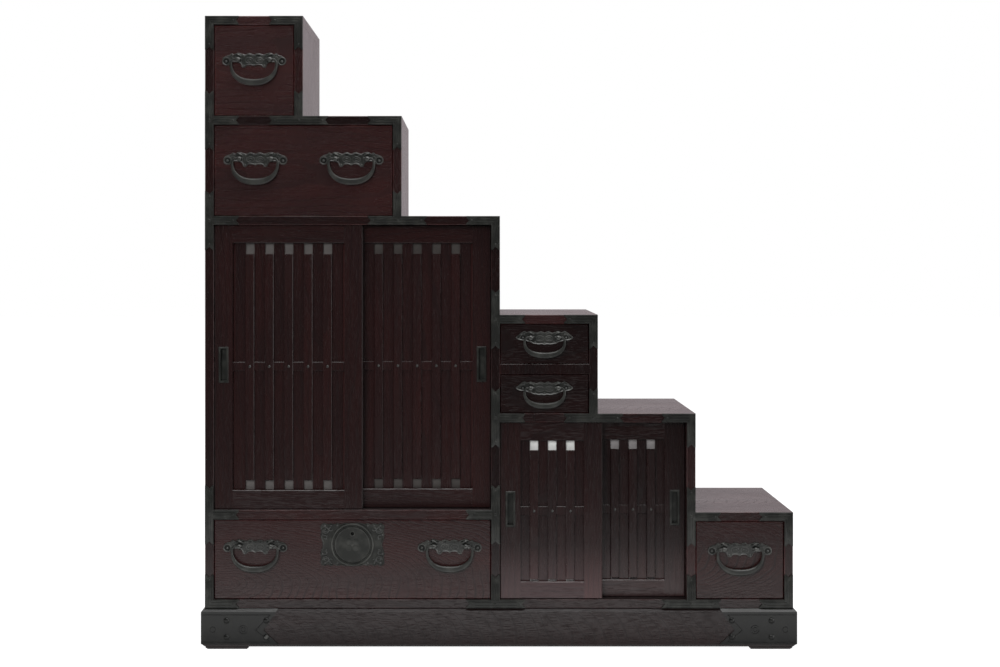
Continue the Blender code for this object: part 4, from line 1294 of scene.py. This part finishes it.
def backing_finish(name, colour, strips):
    """A thin board in its door's tone, faintly mottled, with its borders beside the stiles in the red of
    the lacquer.
    """
    finish, tree, shader, place = start_material(f"backing_{name}")
    low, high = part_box(f"{name}_panel")
    cloud = noise(tree, place, mottle_scale, 4)
    tone = mixed(tree, rise(tree, cloud, *mottle_limits), colour, scaled(colour, backing_shade))
    x = axes_of(tree, place)[0]
    out = maths(tree, "ABSOLUTE", maths(tree, "SUBTRACT", x, (low.x + high.x) / 2))
    field = (strips["count"] + 1) / 2 * strips["pitch"] - strips["pitch"] / 4 - backing_border_in
    tone = mixed(tree, maths(tree, "GREATER_THAN", out, field), tone, lacquer_red)
    rough = maths(tree, "MULTIPLY_ADD", cloud, mottle_rough, backing_rough)
    coat(tree, shader, tone, rough, noise(tree, place, backing_relief_scale), wood_bump / 2)
    return finish


for door_name, backing in backing_painted_light_tones.items():
    strips = big_strips if door_name.startswith("big") else small_strips
    paint(f"{door_name}_frame", door_finish(door_name, strips["pitch"]))
    paint(f"{door_name}_panel", backing_finish(door_name, backing, strips))
    paint(f"{door_name}_pull", pull_iron)
    pane_low, pane_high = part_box(f"{door_name}_panel")
    pane_middle = (pane_low + pane_high) / 2
    strip_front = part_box(f"{door_name}_frame")[0].y + strip_setback
    nails = bmesh.new()
    for number in range(strips["count"]):
        nail_x = pane_middle.x + (number - (strips["count"] - 1) / 2) * strips["pitch"]
        dome(nails, nail_x, pane_middle.z, strip_front, door_nail_radius, door_nail_rise)
    finished(f"{door_name}_nails", nails, plate_iron, door_name)


# The studio: a pale floor that runs out of sight, a surround that mirrors dim in front of the chest,
# paler behind it and bright on its right, a lamp in front on the left and a soft box overhead. The
# camera looks straight at the front from a little above the middle, and its shift frames the chest.

floor_size = 40.0
floor_colour = (0.84, 0.84, 0.83, 1)
floor_far_share = 0.10
floor_fade = (-1.50, -0.75)
floor_glow = 0.95
floor_gloss = 1.4
floor_under = (-0.45, -0.25)
floor_under_gloss = 0.45
floor_shown = 0.30
surround_front = 0.065
surround_back = (0.60, 0.537, 0.558, 1)
surround_way = (0.5, 0.85, 0.0)
surround_fade = (-0.1, 0.7)
surround_side = 2.8
side_fade = (0.55, 0.9)
ambient = 0.34
key_place, key_size, key_power = Vector((-1.25, -4.4, 1.9)), 1.5, 135
softbox_place, softbox_size, softbox_power = Vector((0.2, -0.6, 3.4)), 2.7, 97
lamp_target = Vector((0, 0, 0.60))
camera_place = (-0.052, -3.7575, 0.797)
camera_lens = 62.94
camera_shift = (0.0265, -0.0745)


def make_floor():
    shape = bmesh.new()
    bmesh.ops.create_grid(shape, x_segments=1, y_segments=1, size=floor_size / 2)
    floor = placed("floor", meshed("floor", shape))
    finish, tree, shader, place = start_material("pale_floor")
    ahead = axes_of(tree, place)[1]
    near = rise(tree, ahead, *floor_fade)
    tone = mixed(tree, near, scaled(floor_colour, floor_far_share), floor_colour)
    tree.links.new(tone, shader.inputs["Base Color"])
    make_dull(shader)
    path = add(tree, "LightPath").outputs
    seen, mirrored = path["Is Camera Ray"], path["Is Glossy Ray"]
    gloss = shared(tree, near, floor_far_share, floor_gloss)
    gloss = shared(tree, rise(tree, ahead, *floor_under), gloss, floor_under_gloss)
    level = shared(tree, seen, gloss, floor_glow)
    glow = add(tree, "Emission", {"Color": grey(1), "Strength": level})
    shown = mixed(tree, seen, grey(0), grey(floor_shown))
    dimmed = add(tree, "BsdfDiffuse", {"Color": shown})
    lit = add(tree, "AddShader", {0: glow.outputs[0], 1: dimmed.outputs[0]})
    either = maths(tree, "MAXIMUM", seen, mirrored)
    both = add(tree, "MixShader", {0: either, 1: shader.outputs[0], 2: lit.outputs[0]})
    tree.links.new(both.outputs[0], tree.nodes["Material Output"].inputs["Surface"])
    floor.data.materials.append(finish)


def make_surround():
    """White to the camera. To what shines, it is dim in front, brighter behind and bright on the
    right."""
    world = bpy.data.worlds.new("surround")
    bpy.context.scene.world = world
    world.use_nodes = True
    tree = world.node_tree
    path = add(tree, "LightPath").outputs
    direction = add(tree, "TexCoord").outputs["Generated"]
    way = add(tree, "VectorMath", {0: direction, 1: surround_way}, operation="DOT_PRODUCT")
    behind = rise(tree, way.outputs["Value"], *surround_fade)
    gloss = mixed(tree, behind, grey(surround_front), surround_back)
    side = axes_of(tree, direction)[0]
    gloss = mixed(tree, rise(tree, side, *side_fade), gloss, grey(surround_side))
    colour = mixed(tree, path["Is Glossy Ray"], grey(ambient), gloss)
    colour = mixed(tree, path["Is Camera Ray"], colour, grey(1))
    tree.links.new(colour, tree.nodes["Background"].inputs["Color"])


def make_lamp(name, place, size, power, shines=True):
    lamp = bpy.data.lights.new(name, "AREA")
    lamp.shape = "SQUARE"
    lamp.size = size
    lamp.energy = power
    stand = placed(name, lamp)
    stand.location = place
    stand.rotation_euler = (lamp_target - place).to_track_quat("-Z", "Y").to_euler()
    stand.visible_camera = False
    stand.visible_glossy = shines


make_floor()
make_surround()
make_lamp("key", key_place, key_size, key_power, shines=False)
make_lamp("softbox", softbox_place, softbox_size, softbox_power)

camera = bpy.data.cameras.new("camera")
camera.lens = camera_lens
camera.shift_x, camera.shift_y = camera_shift
tripod = placed("camera", camera)
tripod.location = camera_place
tripod.rotation_euler = (pi / 2, 0, 0)
bpy.context.scene.camera = tripod
bpy.context.scene.view_settings.view_transform = "Standard"
